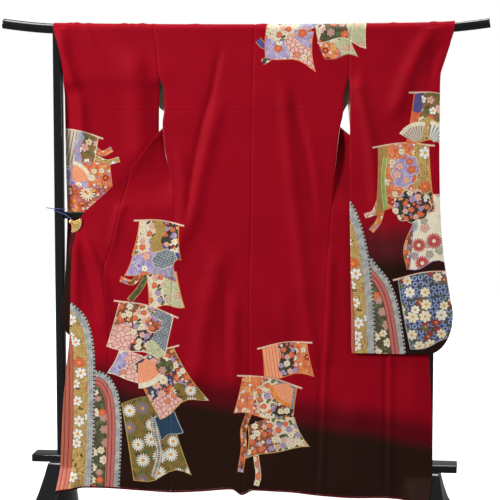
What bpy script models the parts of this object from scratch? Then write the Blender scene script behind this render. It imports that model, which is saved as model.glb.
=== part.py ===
"""Furisode, a long-sleeved kimono, hung by its sleeves on a lacquered kimono stand.

The back of the garment faces -Y. Both fronts are opened out past the side seams and held near
the posts by a clip, so the near layer is one broad sheet: okumi, front, back, back, front, okumi.
Metres, +Z up. The origin lies on the floor, under the middle of the stand.
"""
import math
from collections import namedtuple

import bmesh
import bpy
from mathutils import Vector

# Cloth: silk and its lining as one wall, and the gap that every seam keeps
CLOTH = 0.0020
GAP = 0.0003
HALF = CLOTH / 2
SEAM = GAP / 2

# Stand: top bar on two posts, middle rail, plank, two feet
BAR_R = 0.0170
BAR_Z = 1.6525
BAR_HALF = 0.820
BAR_BOW = 0.006
BAR_BOW_AT = 0.66
BAR_TIP_FROM = 0.64
BAR_TIP_RISE = 0.017
POST_OUT = 0.650
POST_WIDE = 0.032
POST_DEEP = 0.030
POST_ROUND = 0.007
POST_X = POST_OUT - POST_WIDE / 2
POST_IN = POST_OUT - POST_WIDE
RAIL_Z = 1.0225
RAIL_TALL = 0.024
RAIL_DEEP = 0.014
PLANK_TOP = 0.192
PLANK_THICK = 0.026
PLANK_DEEP = 0.085
PLANK_HALF = 0.733
PLANK_CUT = 0.012
FOOT_TOP = PLANK_TOP - PLANK_THICK - GAP
FOOT_X = 0.632
FOOT_SPLAY = 0.045
FOOT_SPLAY_AT = 0.15
FOOT_TOP_HALF = 0.036
FOOT_BASE_HALF = 0.052

# Hang of the cloth: the fold over the bar, then the lean that clears the plank
BAR_ROWS = 6
FOLD_R = (BAR_R + 2 * GAP) / math.cos(math.pi / 2 / BAR_ROWS) + HALF
HANG_Y = 0.0205
HANG_SLOPE = 0.028
HANG_EASE = 0.12
HEM_LOW = 0.08

# Collar, hem roll, clips and their cords
COLLAR_WIDE = 0.050
COLLAR_THICK = 0.0025
COLLAR_GAP = 0.0007
COLLAR_LOOSE = 0.0018
COLLAR_END = 0.985
COLLAR_FAN = 0.070
COLLAR_FREE = 1.360
COLLAR_SETTLE = 0.080
ROLL_TALL = 0.0065
ROLL_THICK = 0.0045
CLIP_Z = 1.003
CLIP_OUT = 0.025
CLIP_REACH = 0.037
CLIP_ROOT = 0.007
CLIP_PLATE = 0.0025
CLIP_FROM = 20.0
CLIP_TO = -88.0
CORD = 0.0025

Rgb = namedtuple("Rgb", "r g b")
CRIMSON = Rgb(0.36, 0.003, 0.012)
ROLL_RED = Rgb(0.17, 0.006, 0.012)
LACQUER = Rgb(0.006, 0.006, 0.008)
BRASS = Rgb(0.62, 0.44, 0.16)
INDIGO = Rgb(0.02, 0.02, 0.16)

# Lines of the near layer. Each row gives a height and where the line runs there.
At = namedtuple("At", "z x")
SIDE_LINE = {
    "left": (At(1.672, -0.303), At(1.603, -0.292), At(1.502, -0.281), At(1.447, -0.264), At(1.389, -0.263),
             At(1.338, -0.269), At(1.274, -0.264), At(1.182, -0.247), At(1.040, -0.227), At(0.877, -0.230),
             At(0.621, -0.243), At(0.311, -0.244), At(0.086, -0.243)),
    "right": (At(1.672, 0.369), At(1.602, 0.363), At(1.513, 0.361), At(1.420, 0.342), At(1.374, 0.341),
              At(1.330, 0.332), At(1.210, 0.319), At(1.019, 0.303), At(0.749, 0.286), At(0.556, 0.280),
              At(0.331, 0.275), At(0.094, 0.264)),
}
CENTRE_LINE = (At(1.672, 0.044), At(1.464, 0.037), At(1.296, 0.035), At(0.959, 0.033), At(0.779, 0.028),
               At(0.462, 0.028), At(0.266, 0.016), At(0.083, 0.005))
OKUMI_LINE = {
    "left": (At(1.188, -0.377), At(1.062, -0.412), At(0.908, -0.450), At(0.840, -0.473), At(0.790, -0.472),
             At(0.720, -0.461), At(0.634, -0.456), At(0.465, -0.457), At(0.288, -0.466), At(0.089, -0.470)),
    "right": (At(1.188, 0.478), At(1.062, 0.490), At(0.908, 0.497), At(0.561, 0.497), At(0.347, 0.498),
              At(0.087, 0.499)),
}
OKUMI_TIP = 1.185

# Height of the hem along the near layer
HemAt = namedtuple("HemAt", "x z")
HEM_LINE = (HemAt(-0.650, 0.078), HemAt(-0.600, 0.088), HemAt(-0.488, 0.092), HemAt(-0.348, 0.088),
            HemAt(-0.243, 0.084), HemAt(-0.139, 0.090), HemAt(-0.030, 0.100), HemAt(0.005, 0.082),
            HemAt(0.045, 0.099), HemAt(0.171, 0.096), HemAt(0.263, 0.088), HemAt(0.375, 0.083),
            HemAt(0.499, 0.086), HemAt(0.560, 0.082), HemAt(0.645, 0.076))

# A front, from its fold over the bar down to where it joins the near layer. Each row is one weft
# line of the cloth, from the side line to the front edge, with the way it turns at both ends.
Weft = namedtuple("Weft", "z side_x side_y turn_x turn_y edge_turn_x edge_turn_y edge_x edge_y edge_z")
FRONT_WEFTS = {
    "left": (
        Weft(1.654, -0.303, 0.0192, 0.083, 0.000, -0.083, 0.000, -0.055, 0.0192, 1.653),
        Weft(1.580, -0.296, 0.0220, 0.075, 0.008, -0.070, 0.000, -0.080, 0.0300, 1.575),
        Weft(1.500, -0.291, 0.0240, 0.060, 0.010, -0.045, -0.020, -0.125, 0.0450, 1.490),
        Weft(1.475, -0.290, 0.0225, 0.090, 0.004, -0.010, -0.045, -0.143, 0.0560, 1.463),
        Weft(1.450, -0.289, 0.0200, 0.120, -0.002, 0.045, -0.030, -0.162, 0.0580, 1.437),
        Weft(1.420, -0.288, 0.0180, 0.150, -0.008, 0.100, 0.010, -0.185, 0.0500, 1.406),
        Weft(1.375, -0.266, 0.0020, 0.136, -0.006, 0.125, 0.040, -0.224, 0.0280, 1.365),
        Weft(1.335, -0.268, -0.0265, 0.140, 0.012, 0.120, 0.070, -0.262, -0.0080, 1.330),
        Weft(1.290, -0.265, -0.0280, 0.130, 0.012, 0.140, 0.070, -0.301, -0.0280, 1.288),
        Weft(1.240, -0.260, -0.0292, 0.100, 0.012, 0.165, 0.052, -0.340, -0.0320, 1.238),
        Weft(1.185, -0.247, -0.0308, 0.060, 0.013, 0.160, 0.034, -0.379, -0.0337, 1.185),
        Weft(1.165, -0.2445, -0.0313, 0.035, 0.016, 0.150, 0.026, -0.399, -0.0343, 1.164),
        Weft(1.145, -0.2415, -0.0318, 0.018, 0.019, 0.135, 0.017, -0.420, -0.0348, 1.144),
        Weft(1.125, -0.239, -0.0323, 0.002, 0.019, 0.125, 0.012, -0.443, -0.0354, 1.124),
        Weft(1.105, -0.236, -0.0328, -0.015, 0.014, 0.115, 0.008, -0.463, -0.0360, 1.105),
        Weft(1.085, -0.2335, -0.0338, -0.035, 0.008, 0.105, 0.004, -0.485, -0.0366, 1.085),
        Weft(1.065, -0.230, -0.0353, -0.060, 0.003, 0.100, 0.001, -0.508, -0.0372, 1.065),
        Weft(1.040, -0.227, -0.0378, -0.100, 0.000, 0.100, 0.000, -0.536, -0.0378, 1.040),
    ),
    "right": (
        Weft(1.654, 0.369, 0.0192, -0.083, 0.000, 0.083, 0.000, 0.125, 0.0192, 1.653),
        Weft(1.580, 0.364, 0.0220, -0.075, 0.008, 0.070, 0.000, 0.150, 0.0300, 1.575),
        Weft(1.500, 0.360, 0.0240, -0.060, 0.010, 0.045, -0.020, 0.192, 0.0450, 1.490),
        Weft(1.475, 0.3595, 0.0225, -0.090, 0.004, 0.010, -0.045, 0.210, 0.0560, 1.463),
        Weft(1.450, 0.359, 0.0200, -0.120, -0.002, -0.045, -0.030, 0.229, 0.0580, 1.437),
        Weft(1.420, 0.358, 0.0180, -0.150, -0.008, -0.100, 0.010, 0.252, 0.0500, 1.406),
        Weft(1.375, 0.339, 0.0020, -0.136, -0.006, -0.125, 0.040, 0.289, 0.0280, 1.365),
        Weft(1.335, 0.333, -0.0265, -0.140, 0.012, -0.120, 0.070, 0.327, -0.0080, 1.330),
        Weft(1.290, 0.327, -0.0280, -0.130, 0.012, -0.140, 0.070, 0.375, -0.0280, 1.292),
        Weft(1.240, 0.322, -0.0292, -0.100, 0.012, -0.165, 0.052, 0.430, -0.0320, 1.245),
        Weft(1.185, 0.317, -0.0308, -0.060, 0.013, -0.160, 0.034, 0.480, -0.0337, 1.186),
        Weft(1.165, 0.3155, -0.0313, -0.035, 0.016, -0.150, 0.026, 0.498, -0.0343, 1.165),
        Weft(1.145, 0.3135, -0.0318, -0.018, 0.019, -0.135, 0.017, 0.518, -0.0348, 1.145),
        Weft(1.125, 0.3115, -0.0323, -0.002, 0.019, -0.125, 0.012, 0.540, -0.0354, 1.124),
        Weft(1.105, 0.309, -0.0328, 0.015, 0.014, -0.115, 0.008, 0.556, -0.0360, 1.105),
        Weft(1.085, 0.307, -0.0338, 0.035, 0.008, -0.105, 0.004, 0.570, -0.0366, 1.085),
        Weft(1.065, 0.305, -0.0353, 0.060, 0.003, -0.100, 0.001, 0.580, -0.0372, 1.065),
        Weft(1.040, 0.304, -0.0378, 0.100, 0.000, -0.100, 0.000, 0.588, -0.0378, 1.040),
    ),
}
# Where the weft lines have come round into the near layer, and the edge of the front below that
NEAR_FROM = 1.080
NEAR_BELOW = 1.045
PLEAT_ENDS = 1.165
PLEAT_FADE = 0.055
EDGE_LINE = {
    "left": (At(1.040, -0.536), At(1.010, -0.556), At(0.980, -0.566), At(0.941, -0.572), At(0.900, -0.582),
             At(0.804, -0.587), At(0.700, -0.589), At(0.597, -0.594), At(0.493, -0.605), At(0.388, -0.615),
             At(0.249, -0.624), At(0.150, -0.633), At(0.070, -0.650)),
    "right": (At(1.040, 0.588), At(1.010, 0.600), At(0.980, 0.604), At(0.941, 0.610), At(0.850, 0.618),
              At(0.720, 0.628), At(0.567, 0.637), At(0.435, 0.644), At(0.325, 0.649), At(0.215, 0.652),
              At(0.160, 0.652), At(0.114, 0.646), At(0.070, 0.640)),
}

# Folds. Each row is a soft ridge (or, with a minus, a trough) that follows a line of heights.
Fold = namedtuple("Fold", "height width line")
BODY_FOLDS = (
    Fold(-0.0050, 0.013, (At(1.63, -0.067), At(1.45, -0.100), At(1.34, -0.131), At(1.18, -0.164),
                          At(0.98, -0.192))),
    Fold(0.0080, 0.026, (At(1.45, -0.070), At(1.38, -0.083), At(1.15, -0.140), At(1.03, -0.164),
                         At(0.90, -0.199))),
    Fold(0.0090, 0.034, (At(0.95, -0.062), At(0.88, -0.078), At(0.67, -0.123), At(0.42, -0.157))),
    Fold(0.0055, 0.020, (At(0.80, -0.018), At(0.74, -0.020), At(0.40, -0.019))),
    Fold(-0.0030, 0.014, (At(0.84, -0.054), At(0.50, -0.054))),
    Fold(0.0080, 0.024, (At(1.50, 0.140), At(1.30, 0.158), At(1.13, 0.175), At(0.99, 0.193), At(0.76, 0.218),
                         At(0.50, 0.260))),
    Fold(-0.0045, 0.016, (At(1.50, 0.165), At(1.35, 0.191), At(1.24, 0.222), At(1.00, 0.252))),
    Fold(0.0035, 0.018, (At(1.36, 0.225), At(1.30, 0.232), At(1.02, 0.270))),
    Fold(0.0040, 0.020, (At(0.78, 0.120), At(0.72, 0.133), At(0.58, 0.172))),
    Fold(0.0065, 0.016, (At(0.95, 0.303), At(0.85, 0.303), At(0.50, 0.291))),
    Fold(0.0080, 0.017, (At(1.00, -0.566), At(0.87, -0.569), At(0.62, -0.572))),
    Fold(0.0120, 0.023, (At(0.99, -0.549), At(0.87, -0.503), At(0.81, -0.483), At(0.60, -0.452))),
    Fold(-0.0060, 0.018, (At(0.96, -0.558), At(0.83, -0.531), At(0.64, -0.486))),
    Fold(0.0055, 0.018, (At(1.19, -0.352), At(1.08, -0.403), At(0.86, -0.460))),
    Fold(0.0060, 0.040, (At(0.60, 0.584), At(0.30, 0.586))),
    Fold(0.0060, 0.055, (At(0.50, -0.350), At(0.05, -0.350))),
    Fold(0.0050, 0.050, (At(0.45, 0.110), At(0.05, 0.110))),
    Fold(0.0050, 0.045, (At(0.45, 0.385), At(0.05, 0.385))),
)
SLEEVE_FOLDS = {
    "left": (
        Fold(0.0120, 0.022, (At(1.70, -0.625), At(1.60, -0.612), At(1.50, -0.585), At(1.40, -0.562),
                             At(1.22, -0.553))),
        Fold(0.0040, 0.016, (At(1.70, -0.553), At(1.62, -0.515), At(1.54, -0.460))),
        Fold(0.0050, 0.030, (At(1.48, -0.400), At(1.30, -0.400))),
    ),
    "right": (
        Fold(0.0110, 0.020, (At(1.56, 0.383), At(1.50, 0.391), At(1.41, 0.408), At(1.27, 0.439),
                             At(1.00, 0.461))),
        Fold(0.0100, 0.024, (At(1.70, 0.655), At(1.59, 0.597), At(1.49, 0.553), At(1.36, 0.500))),
        Fold(-0.0040, 0.014, (At(1.64, 0.690), At(1.55, 0.640), At(1.42, 0.622))),
        Fold(0.0070, 0.026, (At(1.06, 0.480), At(0.99, 0.495), At(0.80, 0.545))),
        Fold(0.0060, 0.014, (At(1.44, 0.654), At(1.20, 0.655), At(0.95, 0.662))),
        Fold(0.0070, 0.034, (At(0.90, 0.630), At(0.60, 0.640))),
    ),
}
FOLD_FADE = 0.10

# Sleeves: each row gives a height, the inner and outer edge, and the depth of both layers. The far
# layer has one depth at its inner edge and one at its outer edge, where it goes round the post.
Cut = namedtuple("Cut", "z inner outer near far_inner far_outer far_reach far_start")
SLEEVE_CUTS = {
    "left": (
        Cut(1.672, -0.303, -0.649, -0.0192, 0.0192, 0.0192, -0.649, -0.303),
        Cut(1.640, -0.298, -0.645, -0.0193, 0.0193, 0.0193, -0.646, -0.298),
        Cut(1.580, -0.289, -0.634, -0.0195, 0.0220, 0.0195, -0.640, -0.289),
        Cut(1.525, -0.283, -0.622, -0.0197, 0.0235, 0.0195, -0.624, -0.2925),
        Cut(1.495, -0.281, -0.6135, -0.0190, 0.0240, 0.0185, -0.6135, -0.293),
        Cut(1.450, -0.282, -0.6125, -0.0110, 0.0240, 0.0120, -0.6125, -0.293),
        Cut(1.350, -0.286, -0.6125, -0.0010, 0.0240, 0.0120, -0.6125, -0.293),
        Cut(1.200, -0.288, -0.6125, 0.0080, 0.0220, 0.0150, -0.6125, -0.290),
        Cut(1.040, -0.290, -0.6100, 0.0115, 0.0200, 0.0158, -0.6100, -0.290),
        Cut(0.995, -0.290, -0.6105, 0.0113, 0.0195, 0.0155, -0.6105, -0.290),
        Cut(0.900, -0.291, -0.6120, -0.0010, 0.0090, 0.0040, -0.6120, -0.291),
        Cut(0.820, -0.292, -0.6130, -0.0145, -0.0055, -0.0100, -0.6130, -0.292),
        Cut(0.765, -0.293, -0.6175, -0.0240, -0.0150, -0.0195, -0.6175, -0.293),
        Cut(0.690, -0.294, -0.6270, -0.0320, -0.0250, -0.0285, -0.6270, -0.294),
        Cut(0.600, -0.295, -0.6270, -0.0340, -0.0290, -0.0315, -0.6270, -0.295),
    ),
    "right": (
        Cut(1.672, 0.369, 0.711, -0.0192, 0.0192, 0.0192, 0.711, 0.369),
        Cut(1.640, 0.366, 0.703, -0.0193, 0.0193, 0.0193, 0.704, 0.366),
        Cut(1.600, 0.363, 0.693, -0.0205, 0.0210, 0.0195, 0.686, 0.363),
        Cut(1.555, 0.362, 0.679, -0.0230, 0.0230, 0.0180, 0.613, 0.362),
        Cut(1.500, 0.361, 0.664, -0.0280, 0.0240, 0.0000, 0.606, 0.361),
        Cut(1.460, 0.3635, 0.663, -0.0330, 0.0140, -0.0185, 0.606, 0.3635),
        Cut(1.435, 0.365, 0.663, -0.0355, 0.0040, -0.0262, 0.632, 0.3635),
        Cut(1.410, 0.366, 0.663, -0.0380, -0.0070, -0.0330, 0.663, 0.3635),
        Cut(1.360, 0.366, 0.663, -0.0420, -0.0280, -0.0350, 0.663, 0.3635),
        Cut(1.320, 0.366, 0.663, -0.0450, -0.0362, -0.0400, 0.663, 0.366),
        Cut(1.090, 0.367, 0.667, -0.0540, -0.0445, -0.0490, 0.667, 0.367),
        Cut(0.923, 0.371, 0.679, -0.0590, -0.0495, -0.0540, 0.679, 0.371),
        Cut(0.807, 0.373, 0.697, -0.0620, -0.0530, -0.0575, 0.697, 0.373),
        Cut(0.706, 0.375, 0.714, -0.0650, -0.0565, -0.0605, 0.714, 0.375),
        Cut(0.570, 0.377, 0.714, -0.0680, -0.0605, -0.0645, 0.714, 0.377),
    ),
}
Corner = namedtuple("Corner", "bottom wide tall wrist")
SLEEVE_CORNER = {
    "left": Corner(0.606, 0.045, 0.085, 1.430),
    "right": Corner(0.574, 0.085, 0.125, 1.405),
}
SLEEVE_CLOSE = 0.00115
SLEEVE_CLOSE_OVER = 0.07

# Profile of a foot along its length: how far from the middle, and how high its back is there
FootAt = namedtuple("FootAt", "reach z")
FOOT_BACK = (FootAt(0.000, FOOT_TOP), FootAt(0.044, FOOT_TOP), FootAt(0.056, 0.153), FootAt(0.075, 0.125),
             FootAt(0.095, 0.095), FootAt(0.115, 0.066), FootAt(0.135, 0.041), FootAt(0.152, 0.027),
             FootAt(0.168, 0.020), FootAt(0.180, 0.012), FootAt(0.185, 0.005))
FOOT_CLEAR = 0.006

# Grid of each sheet. Rows are heights that neighbouring sheets share, in bands of even steps.
Rows = namedtuple("Rows", "low high steps")
ARM_HEIGHTS = (BAR_Z - 0.150, BAR_Z - 0.100, BAR_Z - 0.050, BAR_Z)
ARM_SEWN = ARM_HEIGHTS[0]
HEM_FLEX = 0.30
PLEAT_LOW = 1.04
PLEAT_TIP = 1.17
LOWER_ROWS = (Rows(HEM_LOW, HEM_FLEX, 3), Rows(HEM_FLEX, PLEAT_LOW, 12), Rows(PLEAT_LOW, PLEAT_TIP, 6))
BACK_ROWS = LOWER_ROWS + (Rows(PLEAT_TIP, ARM_SEWN, 6),)
FRONT_ROWS = LOWER_ROWS + (Rows(PLEAT_TIP, ARM_SEWN, 14),)
FRONT_SHARES = (0.0, 0.04, 0.11, 0.22, 0.37, 0.55, 0.73, 0.87, 1.0)
SHOULDER_COLUMNS = len(FRONT_SHARES) - 1
NECK_COLUMNS = 3
OKUMI_COLUMNS = 4
SLEEVE_ROWS = 20
SLEEVE_COLUMNS = 9
COLLAR_STEPS = 2


def clamp(value, low=0.0, high=1.0):
    return max(low, min(high, value))


def ease(value):
    """Smooth step from 0 to 1."""
    value = clamp(value)
    return value * value * (3.0 - 2.0 * value)


def mix(a, b, share):
    return a + (b - a) * share


def follow(rows, key, column, at):
    """Reads one column of a table at a place between its rows, on a smooth curve."""
    rows = sorted(rows, key=lambda row: getattr(row, key))
    keys = [getattr(row, key) for row in rows]
    values = [getattr(row, column) for row in rows]
    if at <= keys[0]:
        return values[0]
    if at >= keys[-1]:
        return values[-1]
    last = max(i for i in range(len(keys) - 1) if keys[i] <= at)
    slopes = [(values[i + 1] - values[i]) / (keys[i + 1] - keys[i]) for i in range(len(keys) - 1)]

    def tangent(i):
        if i in (0, len(keys) - 1) or slopes[i - 1] * slopes[i] <= 0.0:
            return 0.0 if 0 < i < len(keys) - 1 else slopes[min(i, len(slopes) - 1)]
        return 2.0 * slopes[i - 1] * slopes[i] / (slopes[i - 1] + slopes[i])

    span = keys[last + 1] - keys[last]
    t = (at - keys[last]) / span
    return ((2 * t ** 3 - 3 * t ** 2 + 1) * values[last] + (t ** 3 - 2 * t ** 2 + t) * span * tangent(last)
            + (3 * t ** 2 - 2 * t ** 3) * values[last + 1] + (t ** 3 - t ** 2) * span * tangent(last + 1))


def line_x(line, z):
    return follow(line, "z", "x", z)


def bar_z(x):
    """Height of the bar's axis: a slight sag in the middle and ends that turn up."""
    tip = max(0.0, (abs(x) - BAR_TIP_FROM) / (BAR_HALF - BAR_TIP_FROM))
    return BAR_Z + BAR_BOW * min(1.0, (x / BAR_BOW_AT) ** 2) + BAR_TIP_RISE * tip ** 1.5


def relief(folds, x, z):
    """How far the folds push a sheet forward at one point."""
    total = 0.0
    for fold in folds:
        top = max(row.z for row in fold.line)
        low = min(row.z for row in fold.line)
        fade = ease((top - z) / FOLD_FADE) * ease((z - low) / FOLD_FADE)
        if fade > 0.0:
            total += fold.height * fade * math.exp(-((x - line_x(fold.line, z)) / fold.width) ** 2)
    return total


def foot_reach(z):
    """How far forward a foot's back is at one height."""
    rows = [row for row in FOOT_BACK if row.reach >= 0.044]
    return follow(rows, "z", "reach", z)


def hang_y(z):
    """Depth of the near layer without its folds."""
    lean = HANG_Y + HANG_SLOPE * (BAR_Z + 0.0075 - z)
    return -mix(FOLD_R, lean, ease((BAR_Z - z) / HANG_EASE))


def near_y(x, z):
    """Depth of the near layer, with its folds, and kicked forward where it meets the feet."""
    y = hang_y(z) - relief(BODY_FOLDS, x, z)
    if z < FOOT_TOP + 0.02:
        kick = foot_reach(z) + FOOT_CLEAR + y
        over = ease((abs(x) - 0.545) / 0.050) * ease((FOOT_TOP + 0.02 - z) / 0.03)
        y -= max(0.0, kick) * over
    return y


def hem_z(x):
    return follow(HEM_LINE, "x", "z", x)


def wall(name, points, normals, color, cells=None, thickness=CLOTH, rough=0.55, metal=0.0):
    """Closed wall about a grid of points: both faces and the rim round every edge of its cells."""
    rows, columns = len(points), len(points[0])
    if cells is None:
        cells = [[True] * (columns - 1) for _ in range(rows - 1)]
    mesh = bmesh.new()
    skins = []
    for side in (0.5, -0.5):
        skin = {}
        for i in range(rows - 1):
            for j in range(columns - 1):
                if cells[i][j]:
                    for key in ((i, j), (i + 1, j), (i, j + 1), (i + 1, j + 1)):
                        if key not in skin:
                            p, n = points[key[0]][key[1]], normals[key[0]][key[1]]
                            skin[key] = mesh.verts.new(p + n * thickness * side)
        skins.append(skin)
    outer, inner = skins
    for i in range(rows - 1):
        for j in range(columns - 1):
            if not cells[i][j]:
                continue
            ring = ((i, j), (i + 1, j), (i + 1, j + 1), (i, j + 1))
            rising = points[i + 1][j].z > points[i][j].z
            halves = ((0, 1, 2), (0, 2, 3)) if rising else ((1, 2, 3), (1, 3, 0))
            for half in halves:
                mesh.faces.new([outer[ring[k]] for k in half])
                mesh.faces.new([inner[ring[k]] for k in reversed(half)])
            beyond = ((i, j - 1), (i + 1, j), (i, j + 1), (i - 1, j))
            for step, (bi, bj) in enumerate(beyond):
                if 0 <= bi < rows - 1 and 0 <= bj < columns - 1 and cells[bi][bj]:
                    continue
                a, b = ring[step], ring[(step + 1) % 4]
                mesh.faces.new((outer[b], outer[a], inner[a], inner[b]))
    return finish(name, mesh, color, rough, metal)


def finish(name, mesh, color, rough, metal, smooth=True):
    """Turns the faces outward, and makes the object with a material of its own."""
    bmesh.ops.recalc_face_normals(mesh, faces=mesh.faces)
    data = bpy.data.meshes.new(name)
    mesh.to_mesh(data)
    mesh.free()
    if smooth:
        data.shade_smooth()
        data.set_sharp_from_angle(angle=math.radians(40))
    thing = bpy.data.objects.new(name, data)
    bpy.context.scene.collection.objects.link(thing)
    thing.data.materials.append(paint(name, color, rough, metal))
    return thing


def paint(name, color, rough, metal):
    material = bpy.data.materials.new(name + "_finish")
    material.use_nodes = True
    shader = material.node_tree.nodes["Principled BSDF"]
    shader.inputs["Base Color"].default_value = (*color, 1.0)
    shader.inputs["Roughness"].default_value = rough
    shader.inputs["Metallic"].default_value = metal
    return material


def over_bar(x, turn):
    """Point and outward direction on the fold over the bar. Turn runs from -1, front, to 1, behind."""
    angle = turn * math.pi / 2
    out = Vector((0.0, math.sin(angle), math.cos(angle)))
    return Vector((x, 0.0, bar_z(x))) + out * FOLD_R, out


def toward(side):
    """Direction along X from the side line to the middle of the garment."""
    return 1.0 if side == "left" else -1.0


def heights(bands):
    """Row heights from the hem up to the bar's axis."""
    rows = [bands[0].low]
    for band in bands:
        rows += [mix(band.low, band.high, i / band.steps) for i in range(1, band.steps + 1)]
    return rows + list(ARM_HEIGHTS[1:])


def level(x, height):
    """Height of a row at one place: low rows follow the hem, high rows follow the bar."""
    if height < HEM_FLEX:
        return mix(hem_z(x), HEM_FLEX, (height - HEM_LOW) / (HEM_FLEX - HEM_LOW))
    return height + (bar_z(x) - BAR_Z) * (height - HEM_FLEX) / (BAR_Z - HEM_FLEX)


def back_point(side, across, height):
    """Point of a back length: across from its side line (0) to the centre seam (1)."""
    shift = toward(side) * SEAM * (1.0 - 2.0 * across)

    def x_at(z):
        return mix(line_x(SIDE_LINE[side], z), line_x(CENTRE_LINE, z), across) + shift

    z = level(x_at(height), height)
    x = x_at(z)
    return Vector((x, near_y(x, z), z))


def weft(side, z):
    """One weft line of a front above the near layer: its four guide points."""
    rows = FRONT_WEFTS[side]
    row = Weft(*(follow(rows, "z", column, z) for column in Weft._fields))
    start = Vector((row.side_x, row.side_y, z))
    end = Vector((row.edge_x, row.edge_y, row.edge_z))
    drop = (end.z - start.z) / 3
    first = start + Vector((row.turn_x, row.turn_y, drop))
    second = end + Vector((row.edge_turn_x, row.edge_turn_y, -drop))
    return start, first, second, end


def near_x(side, across, z):
    """Where a front's column runs in the near layer, with the seam's gap at the side line."""
    start = line_x(SIDE_LINE[side], z) - toward(side) * SEAM
    return mix(start, line_x(EDGE_LINE[side], z), across)


def front_point(side, across, height):
    """Point and outward direction of a front: across from the side line (0) to its edge (1)."""
    way = toward(side)
    near_out = Vector((0.0, -1.0, 0.0))
    if height < NEAR_BELOW:
        z = level(near_x(side, across, height), height)
        x = near_x(side, across, z)
        return Vector((x, near_y(x, z), z)), near_out
    z = level(follow(FRONT_WEFTS[side], "z", "side_x", height), height)
    a, b, c, d = weft(side, z)
    sewn_x = line_x(SIDE_LINE[side], z)
    a.x = mix(a.x, sewn_x, ease((PLEAT_ENDS + 0.06 - z) / 0.05))
    behind = 1.0 - 2.0 * ease((PLEAT_ENDS - z) / PLEAT_FADE)
    a = a + Vector((way * SEAM * behind, 0.0, 0.0))
    t, s = across, 1.0 - across
    point = a * s ** 3 + b * 3 * s * s * t + c * 3 * s * t * t + d * t ** 3
    along = (b - a) * s * s + (c - b) * 2 * s * t + (d - c) * t * t
    out = Vector((-along.y, along.x, 0.0)).normalized() * way
    if height > ARM_SEWN - 0.01:
        out = Vector((0.0, 1.0, 0.0)).lerp(out, ease(across / 0.2)).normalized()
    near = ease((NEAR_FROM - z) / (NEAR_FROM - NEAR_BELOW))
    flat = Vector((point.x, near_y(point.x, point.z), point.z))
    return point.lerp(flat, near), out.lerp(near_out, near).normalized()


def okumi_share(side, height):
    """How far across a front its okumi seam runs: 1 above the okumi's tip."""
    if height >= OKUMI_TIP:
        return 1.0
    target = line_x(OKUMI_LINE[side], height)
    low, high = 0.45, 1.0
    for _ in range(24):
        middle = (low + high) / 2
        if (front_point(side, middle, height)[0].x - target) * toward(side) > 0.0:
            low = middle
        else:
            high = middle
    return (low + high) / 2


def front_columns(side, height):
    """One row of a front up to its okumi seam, or to its edge where there is no okumi."""
    share = okumi_share(side, height)
    row = [front_point(side, share * at, height) for at in FRONT_SHARES]
    if share < 1.0:
        row[-1][0].x += toward(side) * SEAM
    return row


def okumi_columns(side, height):
    """One row of an okumi, from its seam to the front's edge."""
    share = okumi_share(side, height)
    row = [front_point(side, mix(share, 1.0, j / OKUMI_COLUMNS), height) for j in range(OKUMI_COLUMNS + 1)]
    row[0][0].x -= toward(side) * SEAM
    return row


def back_shares(side):
    """Columns of a back length: even steps to the neck's corner, then even steps to the centre."""
    top_side = line_x(SIDE_LINE[side], BAR_Z)
    neck = (FRONT_WEFTS[side][0].edge_x - top_side) / (line_x(CENTRE_LINE, BAR_Z) - top_side)
    shares = [neck * j / SHOULDER_COLUMNS for j in range(SHOULDER_COLUMNS + 1)]
    return shares + [mix(neck, 1.0, j / NECK_COLUMNS) for j in range(1, NECK_COLUMNS + 1)]


def body(side):
    """One length of cloth: the back, over the bar, and the front, with the neck cut at the fold."""
    shares = back_shares(side)
    points, normals = [], []
    for height in heights(BACK_ROWS):
        points.append([back_point(side, share, height) for share in shares])
        normals.append([Vector((0.0, -1.0, 0.0))] * len(shares))
    back_rows = len(points) - 1
    top = [p.x for p in points[-1]]
    for i in range(1, BAR_ROWS + 1):
        ring = [over_bar(x, mix(-1.0, 1.0, i / BAR_ROWS)) for x in top]
        points.append([p for p, _ in ring])
        normals.append([n for _, n in ring])
    for height in reversed(heights(FRONT_ROWS)[:-1]):
        row = front_columns(side, height)
        row += [row[-1]] * NECK_COLUMNS
        points.append([p for p, _ in row])
        normals.append([n for _, n in row])
    cells = []
    for i in range(len(points) - 1):
        fits = i < back_rows + BAR_ROWS
        cells.append([fits or j < SHOULDER_COLUMNS for j in range(len(shares) - 1)])
    return wall("body_" + side, points, normals, CRIMSON, cells)


def okumi(side):
    """Overlap panel sewn along the front, from its tip at the edge down to the hem."""
    rows = [okumi_columns(side, height) for height in reversed(heights(FRONT_ROWS))
            if okumi_share(side, height) < 0.97]
    points = [[p for p, _ in row] for row in rows]
    normals = [[n for _, n in row] for row in rows]
    return wall("okumi_" + side, points, normals, CRIMSON)


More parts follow.
